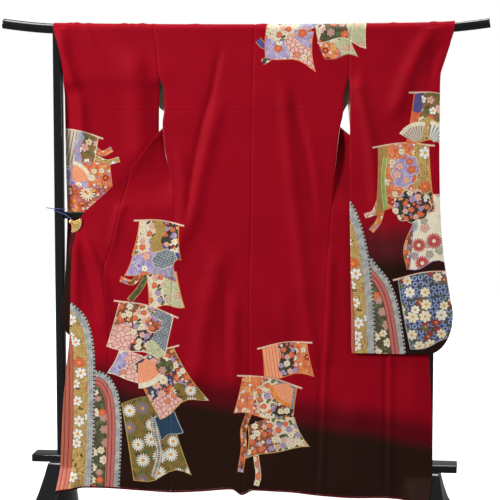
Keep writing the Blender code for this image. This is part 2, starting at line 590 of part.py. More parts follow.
def sleeve(side):
    """One length of cloth folded over the bar: near layer, fold and far layer, closed below the wrist."""
    cuts, corner = SLEEVE_CUTS[side], SLEEVE_CORNER[side]
    way = toward(side)

    def read(column, z):
        return follow(cuts, "z", column, z)

    def foot_of(share):
        wide = abs(read("outer", corner.bottom) - read("inner", corner.bottom))
        start = 1.0 - corner.wide / wide
        turn = clamp((share - start) / (1.0 - start))
        return corner.bottom + corner.tall * (1.0 - math.sqrt(max(0.0, 1.0 - turn * turn)))

    def depth(layer, share, x, z):
        near = read("near", z)
        far = mix(read("far_inner", z), read("far_outer", z), share)
        middle = (near + (read("far_inner", z) + read("far_outer", z)) / 2) / 2
        closed = ease((1.0 - share) / 0.25)
        closed = mix(closed, 1.0, ease((z - corner.wrist) / 0.05))
        closed *= ease((z - foot_of(share)) / SLEEVE_CLOSE_OVER)
        if layer < 0:
            y = mix(middle - SLEEVE_CLOSE, near, closed)
            y -= relief(SLEEVE_FOLDS[side], x, z) * (0.3 + 0.7 * closed)
            join = ease((z - ARM_SEWN + 0.045) / 0.044) * (1.0 - ease(share / 0.2))
            return mix(y, near_y(x, z), join)
        return mix(middle + SLEEVE_CLOSE, far, closed)

    def place(layer, share, row):
        top_x = mix(read("inner", BAR_Z), read("outer", BAR_Z), share)
        if row > SLEEVE_ROWS:
            z = level(top_x, ARM_HEIGHTS[row - SLEEVE_ROWS])
        else:
            z = mix(foot_of(share), level(top_x, ARM_SEWN), row / SLEEVE_ROWS)
        inner = read("inner" if layer < 0 else "far_start", z)
        if z > ARM_SEWN - 0.001:
            if layer < 0:
                inner = line_x(SIDE_LINE[side], z)
            else:
                inner = follow(FRONT_WEFTS[side], "z", "side_x", z)
        outer = read("outer" if layer < 0 else "far_reach", z)
        x = mix(inner - way * SEAM, outer, share)
        y = depth(layer, share, x, z)
        if layer > 0 and z > ARM_SEWN - 0.001:
            y = mix(follow(FRONT_WEFTS[side], "z", "side_y", z), y, ease(share / 0.2))
        return Vector((x, y, z))

    points, normals = [], []
    shares = [j / SLEEVE_COLUMNS for j in range(SLEEVE_COLUMNS + 1)]
    rows = SLEEVE_ROWS + len(ARM_HEIGHTS)
    for i in range(rows):
        points.append([place(-1, share, i) for share in shares])
        normals.append([Vector((0.0, -1.0, 0.0))] * len(shares))
    top = [p.x for p in points[-1]]
    for i in range(1, BAR_ROWS):
        ring = [over_bar(x, mix(-1.0, 1.0, i / BAR_ROWS)) for x in top]
        points.append([p for p, _ in ring])
        normals.append([n for _, n in ring])
    for i in reversed(range(rows)):
        points.append([place(1, share, i) for share in shares])
        normals.append([Vector((0.0, 1.0, 0.0))] * len(shares))
    return wall("sleeve_" + side, points, normals, CRIMSON)


def tucked(row, width):
    """Point and outward direction on a front, a width in from its edge along its row."""
    for (point, out), (following, next_out) in zip(row, row[1:]):
        step = (following - point).length
        if step >= width:
            part = width / step
            return point.lerp(following, part), out.lerp(next_out, part).normalized()
        width -= step
    return row[-1]


def collar_section(side, height):
    """Points and directions of the collar at one height of a front, from its seam to its free edge."""
    edge, _ = front_point(side, 1.0, height)
    above, below = (front_point(side, 1.0, height + step)[0] for step in (0.004, -0.004))
    rise = (above - below).normalized()
    across = (edge - front_point(side, 0.97, height)[0]).normalized()
    slant = across.dot(rise)
    beyond = (across - rise * slant).normalized()
    out = rise.cross(beyond) * toward(side)
    inward = Vector((toward(side), 0.0, 0.0))
    angle = math.atan2(-out.dot(inward), beyond.dot(inward))
    angle = math.pi if angle < -math.pi / 2 else max(0.0, angle)
    settled = ease((COLLAR_FREE - height) / COLLAR_SETTLE)
    angle = min(angle, math.pi * (1.0 - 0.05 * (1.0 - settled)))
    clear = HALF + COLLAR_GAP + COLLAR_THICK / 2 + COLLAR_LOOSE * ease((height - OKUMI_TIP) / 0.05)
    if angle < math.pi / 2:
        start = edge + beyond * mix(COLLAR_GAP, clear, math.sin(angle))
    else:
        start = edge + (beyond * math.sin(angle) + out * math.cos(angle)) * clear
    fanned = 1.0 - ease((BAR_Z - height) / COLLAR_FAN)
    ahead = (beyond - rise * fanned).normalized()
    onward = ahead * math.cos(angle) - out * math.sin(angle)
    facing = out * math.cos(angle) + ahead * math.sin(angle)
    panel = front_columns(side, height)
    if okumi_share(side, height) < 0.97:
        panel += okumi_columns(side, height)[1:]
    row = []
    for j in range(COLLAR_STEPS + 1):
        width = COLLAR_WIDE * j / COLLAR_STEPS
        point, normal = start + onward * width, facing
        if settled > 0.0:
            on_panel, panel_out = tucked(panel[::-1], width / max(0.7, math.sqrt(1.0 - slant * slant)))
            point = point.lerp(on_panel - panel_out * clear, settled)
            normal = normal.lerp(-panel_out, settled).normalized()
        row.append((point, normal))
    return row


def collar_neck(x, low, high):
    """The collar at one place across the back of the neck, where it hangs behind the bar."""
    near_corner = min(x - low, high - x)
    lean = (1.0 - ease(near_corner / COLLAR_FAN)) * (1.0 if x - low < high - x else -1.0)
    onward = Vector((lean, 0.0, -1.0)).normalized()
    start = Vector((x, FOLD_R, bar_z(x))) + onward * COLLAR_GAP
    return [(start + onward * COLLAR_WIDE * j / COLLAR_STEPS, Vector((0.0, 1.0, 0.0)))
            for j in range(COLLAR_STEPS + 1)]


def collar():
    """Folded band along both fronts' edges and round the neck, turned under on its way down."""
    rows = {}
    for side in ("left", "right"):
        marks = [h for h in heights(FRONT_ROWS)[:-1] if h > COLLAR_END + 0.01]
        rows[side] = [collar_section(side, h) for h in [COLLAR_END] + marks]
    low, high = FRONT_WEFTS["left"][0].edge_x, FRONT_WEFTS["right"][0].edge_x
    steps = 6
    neck = [collar_neck(mix(low, high, i / steps), low, high) for i in range(steps + 1)]
    path = rows["left"] + neck + rows["right"][::-1]
    points = [[p for p, _ in row] for row in path]
    normals = [[n for _, n in row] for row in path]
    return wall("collar", points, normals, CRIMSON, thickness=COLLAR_THICK)


def hem_roll():
    """Padded lining roll that shows along the hem, from one front edge to the other."""
    path = []
    for side in ("left", "right"):
        low = [p for p, _ in reversed(okumi_columns(side, HEM_LOW))]
        low += [p for p, _ in reversed(front_columns(side, HEM_LOW))]
        low += [back_point(side, share, HEM_LOW) for share in back_shares(side)]
        path += low if side == "left" else low[::-1]
    spread = [path[0]]
    for point in path[1:]:
        if point.x - spread[-1].x > 0.002:
            spread.append(point)
    rings = []
    for point in spread:
        middle = point - Vector((0.0, 0.0, ROLL_TALL / 2 + GAP))
        angles = [math.pi / 2 + math.pi * (j + 0.5) / 3 for j in range(6)]
        rings.append([middle + Vector((0.0, math.cos(a) * ROLL_THICK, math.sin(a) * ROLL_TALL)) / 2
                      for a in angles])
    return loft("hem_roll", rings, ROLL_RED, 0.55)


def clip(side):
    """Fan clip on a front's edge: a plate on each face of the cloth, joined beyond the edge."""
    way = toward(side)
    pivot_x = line_x(EDGE_LINE[side], CLIP_Z) - way * CLIP_OUT
    root, blade = [], []
    lean = (CLIP_FROM + CLIP_TO) / 2
    for i in range(5):
        angle = math.radians(lean - 90.0 - 45.0 * i)
        root.append((pivot_x + way * CLIP_ROOT * math.cos(angle), CLIP_Z + CLIP_ROOT * math.sin(angle)))
    for i in range(9):
        angle = math.radians(mix(CLIP_FROM, CLIP_TO, i / 8))
        blade.append((pivot_x + way * CLIP_REACH * math.cos(angle), CLIP_Z + CLIP_REACH * math.sin(angle)))
    held = [near_y(mix(pivot_x, x, k), mix(CLIP_Z, z, k)) for x, z in blade for k in (0.6, 0.8, 1.0)]
    front = min(held) - HALF - GAP
    back = max(held) + HALF + COLLAR_GAP + COLLAR_THICK + GAP
    mesh = bmesh.new()
    rings = []
    for y in (front - CLIP_PLATE, front, back, back + CLIP_PLATE):
        rings.append([mesh.verts.new((x, y, z)) for x, z in root + blade])
    count, joined = len(root) + len(blade), len(root)
    for a, b in ((0, 1), (2, 3)):
        for j in range(count):
            k = (j + 1) % count
            mesh.faces.new((rings[a][j], rings[a][k], rings[b][k], rings[b][j]))
    for j in range(joined):
        k = (j + 1) % joined
        mesh.faces.new((rings[1][j], rings[1][k], rings[2][k], rings[2][j]))
    for ring in (rings[0], rings[3]):
        mesh.faces.new(ring)
    for ring in (rings[1], rings[2]):
        mesh.faces.new([ring[joined - 1]] + ring[joined:] + [ring[0]])
    bmesh.ops.triangulate(mesh, faces=[face for face in mesh.faces if len(face.verts) > 4])
    return finish("clip_" + side, mesh, BRASS, 0.35, 1.0, smooth=False)


def smooth_path(marks, spacing):
    """Even points on a smooth curve through a cord's own marks."""
    guide = [marks[0] * 2 - marks[1]] + marks + [marks[-1] * 2 - marks[-2]]
    fine = []
    for a, b, c, d in zip(guide, guide[1:], guide[2:], guide[3:]):
        for i in range(12):
            t = i / 12
            fine.append((b * 2 + (c - a) * t + (a * 2 - b * 5 + c * 4 - d) * t * t
                         + (b * 3 - a - c * 3 + d) * t ** 3) / 2)
    fine.append(marks[-1])
    length = sum((q - p).length for p, q in zip(fine, fine[1:]))
    count = round(length / spacing)
    even, walked, want = [fine[0]], 0.0, 1
    for p, q in zip(fine, fine[1:]):
        step = (q - p).length
        while want < count and walked + step >= length * want / count:
            even.append(p.lerp(q, (length * want / count - walked) / step))
            want += 1
        walked += step
    return even + [fine[-1]]


def clip_cord(side):
    """Cord from a clip's root, once round the post above the rail, with a short free end."""
    way = toward(side)
    pivot_x = line_x(EDGE_LINE[side], CLIP_Z) - way * CLIP_OUT
    post = -way * POST_X
    clear = CORD / 2 + 0.0009
    start_z = CLIP_Z + CLIP_ROOT + CORD / 2 + 2 * GAP
    front_y = -POST_DEEP / 2 - clear
    marks = [
        Vector((pivot_x, near_y(pivot_x, CLIP_Z), start_z)),
        Vector((mix(pivot_x, post, 0.5), front_y - 0.010, start_z + 0.015)),
        Vector((post + way * 0.002, front_y - 0.001, start_z + 0.022)),
    ]
    turn = POST_ROUND + clear
    for sx, sy in ((-1, -1), (-1, 1), (1, 1), (1, -1)):
        centre = (post + way * sx * (POST_WIDE / 2 - POST_ROUND), sy * (POST_DEEP / 2 - POST_ROUND))
        for part in (0.0, 0.5, 1.0):
            angle = math.pi / 2 * (part if sx * sy < 0 else 1.0 - part)
            height = start_z + 0.024 + 0.0006 * len(marks)
            x = centre[0] + way * sx * turn * math.cos(angle)
            marks.append(Vector((x, centre[1] + sy * turn * math.sin(angle), height)))
    marks.append(Vector((post, front_y - 0.0004, start_z + 0.033)))
    marks.append(Vector((post - way * 0.020, front_y - 0.002, start_z + 0.034)))
    marks.append(Vector((post - way * 0.042, front_y - 0.001, start_z + 0.037)))
    name = "clip_cord_" + side
    data = bpy.data.curves.new(name, "CURVE")
    data.dimensions = "3D"
    data.bevel_depth = CORD / 2
    data.bevel_resolution = 2
    data.use_fill_caps = True
    spline = data.splines.new("POLY")
    points = smooth_path(marks, CORD * 1.6)
    spline.points.add(len(points) - 1)
    for mark, point in zip(spline.points, points):
        mark.co = (*point, 1.0)
    thing = bpy.data.objects.new(name, data)
    bpy.context.scene.collection.objects.link(thing)
    data.materials.append(paint(name, INDIGO, 0.6, 0.0))
    return thing


def loft(name, rings, color, rough=0.12):
    """Closed solid through rings of the same number of points, with strips of faces for its ends."""
    mesh = bmesh.new()
    rows = [[mesh.verts.new(p) for p in ring] for ring in rings]
    count = len(rings[0])
    for a, b in zip(rows, rows[1:]):
        for j in range(count):
            mesh.faces.new((a[j], a[(j + 1) % count], b[(j + 1) % count], b[j]))
    for row in (rows[0], rows[-1]):
        for j in range(count // 2 - 1):
            mesh.faces.new([row[j], row[j + 1], row[count - 2 - j], row[count - 1 - j]])
    return finish(name, mesh, color, rough, 0.0)


def rounded_section(wide, deep, radius, steps=3, between=0):
    """Outline of a rectangle with round corners, in mirrored pairs from its +Y end."""
    half = []
    straight = deep / 2 - radius
    for sign, start in ((1.0, math.pi / 2), (-1.0, 0.0)):
        for i in range(steps + 1):
            angle = start - i * math.pi / 2 / steps
            half.append((wide / 2 - radius + radius * math.cos(angle),
                         sign * straight + radius * math.sin(angle)))
        if sign > 0.0:
            half += [(wide / 2, straight * (1.0 - 2.0 * i / (between + 1))) for i in range(1, between + 1)]
    return half + [(-x, y) for x, y in reversed(half)]


def stand_bar():
    """Round bar along X, its ends turned up and slightly domed."""
    sides = 16
    tip = [mix(BAR_TIP_FROM, BAR_HALF, i / 7) for i in range(8)]
    middle = [mix(-BAR_TIP_FROM, BAR_TIP_FROM, i / 12) for i in range(1, 12)]
    stations = [-x for x in reversed(tip)] + middle + tip
    rings = []
    for x in stations:
        slope = (bar_z(x + 0.001) - bar_z(x - 0.001)) / 0.002
        along = Vector((1.0, 0.0, slope)).normalized()
        up = Vector((-along.z, 0.0, along.x))
        centre = Vector((x, 0.0, bar_z(x)))
        angles = [math.pi / 2 + 2 * math.pi * (j + 0.5) / sides for j in range(sides)]
        deep = Vector((0.0, BAR_R, 0.0))
        rings.append([centre + up * BAR_R * math.sin(a) + deep * math.cos(a) for a in angles])

    def dome(ring, way):
        middle = sum(ring, Vector()) / len(ring)
        return [middle + (p - middle) * 0.80 + Vector((way * 0.004, 0.0, 0.0)) for p in ring]

    rings = [dome(rings[0], -1.0)] + rings + [dome(rings[-1], 1.0)]
    return loft("stand_bar", rings, LACQUER)


def stand_post(side):
    """Post with round corners, its top hollowed to carry the bar."""
    x0 = -POST_X if side == "left" else POST_X
    section = rounded_section(POST_WIDE, POST_DEEP, POST_ROUND, between=5)
    foot = PLANK_TOP + GAP
    rings = [[Vector((x0 + x, y, foot)) for x, y in section]]
    rings.append([Vector((x0 + x, y, BAR_Z - 2 * BAR_R)) for x, y in section])
    seat = bar_z(x0) - BAR_BOW * 0.1
    rings.append([Vector((x0 + x, y, seat - math.sqrt(BAR_R ** 2 - y * y) - GAP)) for x, y in section])
    return loft("stand_post_" + side, rings, LACQUER)


def stand_rail():
    """Middle rail between the posts."""
    section = rounded_section(RAIL_DEEP, RAIL_TALL, 0.004)
    reach = POST_IN - GAP
    rings = [[Vector((x, y, RAIL_Z + z)) for y, z in section] for x in (-reach, reach)]
    return loft("stand_rail", rings, LACQUER)


def stand_plank():
    """Plank that joins the feet, its front and back corners cut."""
    outline = []
    for sx, sy in ((1, 1), (1, -1), (-1, -1), (-1, 1)):
        corner = [(sx * PLANK_HALF, sy * (PLANK_DEEP / 2 - 0.004)),
                  (sx * (PLANK_HALF - PLANK_CUT * 0.4), sy * PLANK_DEEP / 2)]
        outline += corner if sx * sy < 0 else corner[::-1]
    mesh = bmesh.new()
    face = mesh.faces.new([mesh.verts.new((x, y, PLANK_TOP - PLANK_THICK)) for x, y in outline])
    grown = bmesh.ops.extrude_face_region(mesh, geom=[face])
    lifted = [v for v in grown["geom"] if isinstance(v, bmesh.types.BMVert)]
    bmesh.ops.translate(mesh, verts=lifted, vec=(0.0, 0.0, PLANK_THICK))
    bmesh.ops.bevel(mesh, geom=list(mesh.edges), offset=0.0025, segments=1, affect="EDGES")
    return finish("stand_plank", mesh, LACQUER, 0.2, 0.0)


def stand_foot(side):
    """Foot across the plank, splayed outward and sloping to a low toe at both ends."""
    sign = -1.0 if side == "left" else 1.0
    stations = [-row.reach for row in reversed(FOOT_BACK)] + [row.reach for row in FOOT_BACK[1:]]
    rings = []
    for y in stations:
        reach = abs(y)
        z = next(row.z for row in FOOT_BACK if row.reach == reach)
        centre = FOOT_X + FOOT_SPLAY * (reach / FOOT_SPLAY_AT) ** 1.6
        edge = min(0.006, z * 0.4)
        slim = 1.0 - 0.25 * clamp((reach - 0.15) / 0.035) ** 2
        half = [(FOOT_TOP_HALF * slim - edge, z), (FOOT_TOP_HALF * slim - edge * 0.3, z - edge * 0.3),
                (FOOT_TOP_HALF * slim, z - edge),
                (FOOT_BASE_HALF * slim, 0.004 * min(1.0, z / 0.012)), (FOOT_BASE_HALF * slim - 0.002, 0.0)]
        outline = half + [(-x, h) for x, h in reversed(half)]
        rings.append([Vector((sign * (centre + x), y, h)) for x, h in outline])
    return loft("stand_foot_" + side, rings, LACQUER)


def main():
    for thing in list(bpy.data.objects):
        bpy.data.objects.remove(thing, do_unlink=True)
    for side in ("left", "right"):
        body(side)
        okumi(side)
        sleeve(side)
        stand_post(side)
        stand_foot(side)
        clip(side)
        clip_cord(side)
    collar()
    hem_roll()
    stand_bar()
    stand_rail()
    stand_plank()


main()
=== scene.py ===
"""Looks of a furisode, a long-sleeved kimono, hung by its sleeves on a lacquered kimono stand.

The back of the garment faces -Y. Both fronts are opened out past the side seams, and each is held
near a post by a fan clip. Metres, +Z up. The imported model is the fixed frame.
"""
import logging
import math
from dataclasses import dataclass, field
from enum import Enum
from typing import Callable, Sequence

import bpy
import numpy as np
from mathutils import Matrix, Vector, geometry

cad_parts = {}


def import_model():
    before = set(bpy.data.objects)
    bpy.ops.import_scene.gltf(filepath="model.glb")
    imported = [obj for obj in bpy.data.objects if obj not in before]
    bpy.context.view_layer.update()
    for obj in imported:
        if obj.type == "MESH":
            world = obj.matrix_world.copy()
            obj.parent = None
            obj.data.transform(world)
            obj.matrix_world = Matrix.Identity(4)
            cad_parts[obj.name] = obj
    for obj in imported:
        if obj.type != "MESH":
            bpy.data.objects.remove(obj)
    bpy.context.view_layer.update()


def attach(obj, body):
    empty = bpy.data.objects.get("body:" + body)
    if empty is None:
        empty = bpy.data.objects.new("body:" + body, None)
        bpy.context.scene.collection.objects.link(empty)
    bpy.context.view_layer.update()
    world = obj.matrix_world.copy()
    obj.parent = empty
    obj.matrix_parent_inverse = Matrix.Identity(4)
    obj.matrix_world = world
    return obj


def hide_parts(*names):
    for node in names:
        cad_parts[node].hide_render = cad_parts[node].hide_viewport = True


Array = np.ndarray
Mark = tuple[float, float]
Rgb = tuple[float, float, float]
Wired = bpy.types.NodeSocket | float | Rgb
LOG = logging.getLogger("furisode")

# Cloth: the wall that silk and lining make together, and the gap that every seam keeps
CLOTH = 0.0020
GAP = 0.0003
HALF = CLOTH / 2

# Largest step of a cloth's grid, and how far its two closer steps lie from an edge
GRID = 0.0060
CLOSE_STEPS = (0.0013, 0.0035)
CLOSE_CLEAR = 1.3

# Stand
BAR_R = 0.0170
BAR_Z = 1.6525
BAR_HALF = 0.820
BAR_BOW = 0.006
BAR_BOW_AT = 0.66
BAR_TIP_FROM = 0.64
BAR_TIP_RISE = 0.017
POST_WIDE = 0.032
POST_DEEP = 0.030
POST_ROUND = 0.007
POST_X = 0.634
POST_IN = 0.618
RAIL_Z = 1.0225
RAIL_TALL = 0.024
RAIL_DEEP = 0.014
PLANK_TOP = 0.192
PLANK_THICK = 0.026
PLANK_DEEP = 0.085
PLANK_HALF = 0.733
PLANK_CUT = 0.012
FOOT_TOP = PLANK_TOP - PLANK_THICK - GAP

# Hang of the cloth: the fold over the bar, then the lean that clears the plank
FOLD_R = (BAR_R + 2 * GAP) / math.cos(math.pi / 12) + HALF
HANG_Y = 0.0205
HANG_SLOPE = 0.028
HANG_EASE = 0.12
HANG_TOP = BAR_Z + 0.0075
HEM_LOW = 0.08
HEM_FLEX = 0.30
ARM_SEWN = BAR_Z - 0.150
ARM_HELD = ARM_SEWN - 0.001
ARM_TURNS = ARM_SEWN - 0.01
FOLD_FADE = 0.10

# Forward kick of the near layer where it meets the feet
FOOT_CLEAR = 0.006
KICK_X = 0.545
KICK_X_OVER = 0.050
KICK_TOP = FOOT_TOP + 0.02
KICK_TOP_OVER = 0.03

# Lines of the near layer: a height, and where the line runs there
SIDE_LINE = {
    "left": ((1.672, -0.303), (1.603, -0.292), (1.502, -0.281), (1.447, -0.264), (1.389, -0.263),
             (1.338, -0.269), (1.274, -0.264), (1.182, -0.247), (1.040, -0.227), (0.877, -0.230),
             (0.621, -0.243), (0.311, -0.244), (0.086, -0.243)),
    "right": ((1.672, 0.369), (1.602, 0.363), (1.513, 0.361), (1.420, 0.342), (1.374, 0.341),
              (1.330, 0.332), (1.210, 0.319), (1.019, 0.303), (0.749, 0.286), (0.556, 0.280),
              (0.331, 0.275), (0.094, 0.264)),
}
CENTRE_LINE = ((1.672, 0.044), (1.464, 0.037), (1.296, 0.035), (0.959, 0.033), (0.779, 0.028),
               (0.462, 0.028), (0.266, 0.016), (0.083, 0.005))
OKUMI_LINE = {
    "left": ((1.188, -0.377), (1.062, -0.412), (0.908, -0.450), (0.840, -0.473), (0.790, -0.472),
             (0.720, -0.461), (0.634, -0.456), (0.465, -0.457), (0.288, -0.466), (0.089, -0.470)),
    "right": ((1.188, 0.478), (1.062, 0.490), (0.908, 0.497), (0.561, 0.497), (0.347, 0.498),
              (0.087, 0.499)),
}
# Height of the okumi's tip, least share of a front that lies before its okumi, and steps of the search for it
OKUMI_TIP = 1.185
OKUMI_FROM = 0.45
HALVINGS = 24
EDGE_LINE = {
    "left": ((1.040, -0.536), (1.010, -0.556), (0.980, -0.566), (0.941, -0.572), (0.900, -0.582),
             (0.804, -0.587), (0.700, -0.589), (0.597, -0.594), (0.493, -0.605), (0.388, -0.615),
             (0.249, -0.623), (0.150, -0.627), (0.070, -0.634)),
    "right": ((1.040, 0.588), (1.010, 0.600), (0.980, 0.604), (0.941, 0.610), (0.850, 0.618),
              (0.720, 0.628), (0.567, 0.637), (0.435, 0.644), (0.325, 0.649), (0.215, 0.652),
              (0.160, 0.652), (0.114, 0.646), (0.070, 0.640)),
}
# Place along the near layer, and the height of the hem there
HEM_LINE = ((-0.650, 0.078), (-0.600, 0.088), (-0.488, 0.092), (-0.348, 0.088), (-0.243, 0.084),
            (-0.139, 0.090), (-0.030, 0.100), (0.005, 0.082), (0.045, 0.099), (0.171, 0.096),
            (0.263, 0.088), (0.375, 0.083), (0.499, 0.086), (0.560, 0.082), (0.645, 0.076))
# Place along a foot, and how high its back is there
FOOT_BACK = ((0.044, FOOT_TOP), (0.056, 0.153), (0.075, 0.125), (0.095, 0.095), (0.115, 0.066),
             (0.135, 0.041), (0.152, 0.027), (0.168, 0.020), (0.180, 0.012), (0.185, 0.005))

# Weft lines of a front, from its fold over the bar down to where it joins the near layer. Height,
# side y, turn x and y, edge turn x and y, edge y. X is positive towards the garment's middle
FRONT_SHAPE = (
    (1.654, 0.0192, 0.083, 0.000, -0.083, 0.000, 0.0192),
    (1.580, 0.0220, 0.075, 0.008, -0.070, 0.000, 0.0300),
    (1.500, 0.0240, 0.060, 0.010, -0.045, -0.020, 0.0450),
    (1.475, 0.0225, 0.090, 0.004, -0.010, -0.045, 0.0560),
    (1.450, 0.0200, 0.120, -0.002, 0.045, -0.030, 0.0580),
    (1.420, 0.0180, 0.150, -0.008, 0.100, 0.010, 0.0500),
    (1.392, 0.0120, 0.141, -0.007, 0.115, 0.029, 0.0363),
    (1.375, 0.0020, 0.136, -0.006, 0.125, 0.040, 0.0280),
    (1.335, -0.0265, 0.140, 0.012, 0.120, 0.070, -0.0080),
    (1.290, -0.0280, 0.130, 0.012, 0.140, 0.070, -0.0280),
    (1.240, -0.0292, 0.100, 0.012, 0.165, 0.052, -0.0320),
    (1.185, -0.0308, 0.060, 0.013, 0.160, 0.034, -0.0337),
    (1.165, -0.0313, 0.035, 0.016, 0.150, 0.026, -0.0343),
    (1.145, -0.0318, 0.018, 0.019, 0.135, 0.017, -0.0348),
    (1.125, -0.0323, 0.002, 0.019, 0.125, 0.012, -0.0354),
    (1.105, -0.0328, -0.015, 0.014, 0.115, 0.008, -0.0360),
    (1.085, -0.0338, -0.035, 0.008, 0.105, 0.004, -0.0366),
    (1.065, -0.0353, -0.060, 0.003, 0.100, 0.001, -0.0372),
    (1.040, -0.0378, -0.100, 0.000, 0.100, 0.000, -0.0378),
)
# Where those lines start and end on each front. Height, side x, edge x and z
FRONT_REACH = {
    "left": (
        (1.654, -0.303, -0.055, 1.653), (1.580, -0.296, -0.080, 1.575), (1.500, -0.291, -0.125, 1.490),
        (1.475, -0.290, -0.143, 1.463), (1.450, -0.289, -0.162, 1.437), (1.420, -0.288, -0.185, 1.406),
        (1.392, -0.286, -0.209, 1.381), (1.375, -0.266, -0.224, 1.365), (1.335, -0.268, -0.262, 1.330),
        (1.290, -0.265, -0.301, 1.288), (1.240, -0.260, -0.340, 1.238), (1.185, -0.247, -0.379, 1.185),
        (1.165, -0.2445, -0.399, 1.164), (1.145, -0.2415, -0.420, 1.144), (1.125, -0.239, -0.443, 1.124),
        (1.105, -0.236, -0.463, 1.105), (1.085, -0.2335, -0.485, 1.085), (1.065, -0.230, -0.508, 1.065),
        (1.040, -0.227, -0.536, 1.040),
    ),
    "right": (
        (1.654, 0.369, 0.125, 1.653), (1.580, 0.364, 0.150, 1.575), (1.500, 0.360, 0.192, 1.490),
        (1.475, 0.3595, 0.210, 1.463), (1.450, 0.359, 0.229, 1.437), (1.420, 0.358, 0.252, 1.406),
        (1.375, 0.339, 0.289, 1.365), (1.335, 0.333, 0.327, 1.330), (1.290, 0.327, 0.375, 1.292),
        (1.240, 0.322, 0.430, 1.245), (1.185, 0.317, 0.480, 1.186), (1.165, 0.3155, 0.498, 1.165),
        (1.145, 0.3135, 0.518, 1.145), (1.125, 0.3115, 0.540, 1.124), (1.105, 0.309, 0.556, 1.105),
        (1.085, 0.307, 0.570, 1.085), (1.065, 0.305, 0.580, 1.065), (1.040, 0.304, 0.588, 1.040),
    ),
}
# Heights over which a front joins the near layer and its pleat meets the side line, and the share of
# its width that turns away from the seam
NEAR_FROM = 1.080
NEAR_BELOW = 1.045
JOINT = NEAR_BELOW - 0.005
JOINT_FROM = NEAR_BELOW - 0.004
PLEAT_MEETS = 1.225
PLEAT_OVER = 0.05
TURN_SHARE = 0.2

# Folds: height of the ridge (a trough has a minus), half width, and the line of heights it follows
BODY_FOLDS = (
    (-0.0050, 0.013, ((1.63, -0.067), (1.45, -0.100), (1.34, -0.131), (1.18, -0.164), (0.98, -0.192))),
    (0.0080, 0.026, ((1.45, -0.070), (1.38, -0.083), (1.15, -0.140), (1.03, -0.164), (0.90, -0.199))),
    (0.0090, 0.034, ((0.95, -0.062), (0.88, -0.078), (0.67, -0.123), (0.42, -0.157))),
    (0.0055, 0.020, ((0.80, -0.018), (0.74, -0.020), (0.40, -0.019))),
    (-0.0030, 0.014, ((0.84, -0.054), (0.50, -0.054))),
    (0.0080, 0.024, ((1.50, 0.140), (1.30, 0.158), (1.13, 0.175), (0.99, 0.193), (0.76, 0.218),
                     (0.50, 0.260))),
    (-0.0045, 0.016, ((1.50, 0.165), (1.35, 0.191), (1.24, 0.222), (1.00, 0.252))),
    (0.0035, 0.018, ((1.36, 0.225), (1.30, 0.232), (1.02, 0.270))),
    (0.0040, 0.020, ((0.78, 0.120), (0.72, 0.133), (0.58, 0.172))),
    (0.0065, 0.016, ((0.95, 0.303), (0.85, 0.303), (0.50, 0.291))),
    (0.0080, 0.017, ((1.00, -0.566), (0.87, -0.569), (0.62, -0.572))),
    (0.0120, 0.023, ((0.99, -0.549), (0.87, -0.503), (0.81, -0.483), (0.60, -0.452))),
    (-0.0060, 0.018, ((0.96, -0.558), (0.83, -0.531), (0.64, -0.486))),
    (0.0055, 0.018, ((1.19, -0.352), (1.08, -0.403), (0.86, -0.460))),
    (0.0060, 0.040, ((0.60, 0.584), (0.30, 0.586))),
    (0.0060, 0.055, ((0.50, -0.350), (0.05, -0.350))),
    (0.0050, 0.050, ((0.45, 0.110), (0.05, 0.110))),
    (0.0050, 0.045, ((0.45, 0.385), (0.05, 0.385))),
    (0.0055, 0.010, ((0.74, 0.507), (0.45, 0.508), (0.06, 0.510))),
    (-0.0045, 0.008, ((0.74, 0.491), (0.45, 0.491), (0.06, 0.492))),
    (0.0040, 0.011, ((0.62, 0.290), (0.30, 0.283), (0.06, 0.275))),
    (-0.0035, 0.009, ((0.62, 0.275), (0.30, 0.267), (0.06, 0.256))),
    (0.0060, 0.018, ((1.02, -0.520), (0.92, -0.470), (0.84, -0.420))),
    (-0.0050, 0.014, ((1.00, -0.535), (0.90, -0.495), (0.80, -0.447))),
    (0.0050, 0.022, ((1.30, -0.215), (1.10, -0.195), (0.80, -0.235))),
)
SLEEVE_FOLDS = {
    "left": (
        (0.0120, 0.022, ((1.70, -0.625), (1.60, -0.612), (1.50, -0.585), (1.40, -0.562), (1.22, -0.553))),
        (0.0040, 0.016, ((1.70, -0.553), (1.62, -0.515), (1.54, -0.460))),
        (0.0135, 0.046, ((1.62, -0.374), (1.45, -0.354), (1.16, -0.350))),
    ),
    "right": (
        (0.0110, 0.020, ((1.56, 0.383), (1.50, 0.391), (1.41, 0.408), (1.27, 0.439), (1.00, 0.461))),
        (0.0125, 0.030, ((1.70, 0.655), (1.59, 0.597), (1.49, 0.553), (1.33, 0.505))),
        (-0.0040, 0.014, ((1.64, 0.690), (1.55, 0.640), (1.42, 0.622))),
        (0.0070, 0.026, ((1.06, 0.480), (0.99, 0.495), (0.80, 0.545))),
        (0.0060, 0.014, ((1.44, 0.654), (1.20, 0.655), (0.95, 0.662))),
        (0.0070, 0.034, ((0.90, 0.630), (0.60, 0.640))),
    ),
}

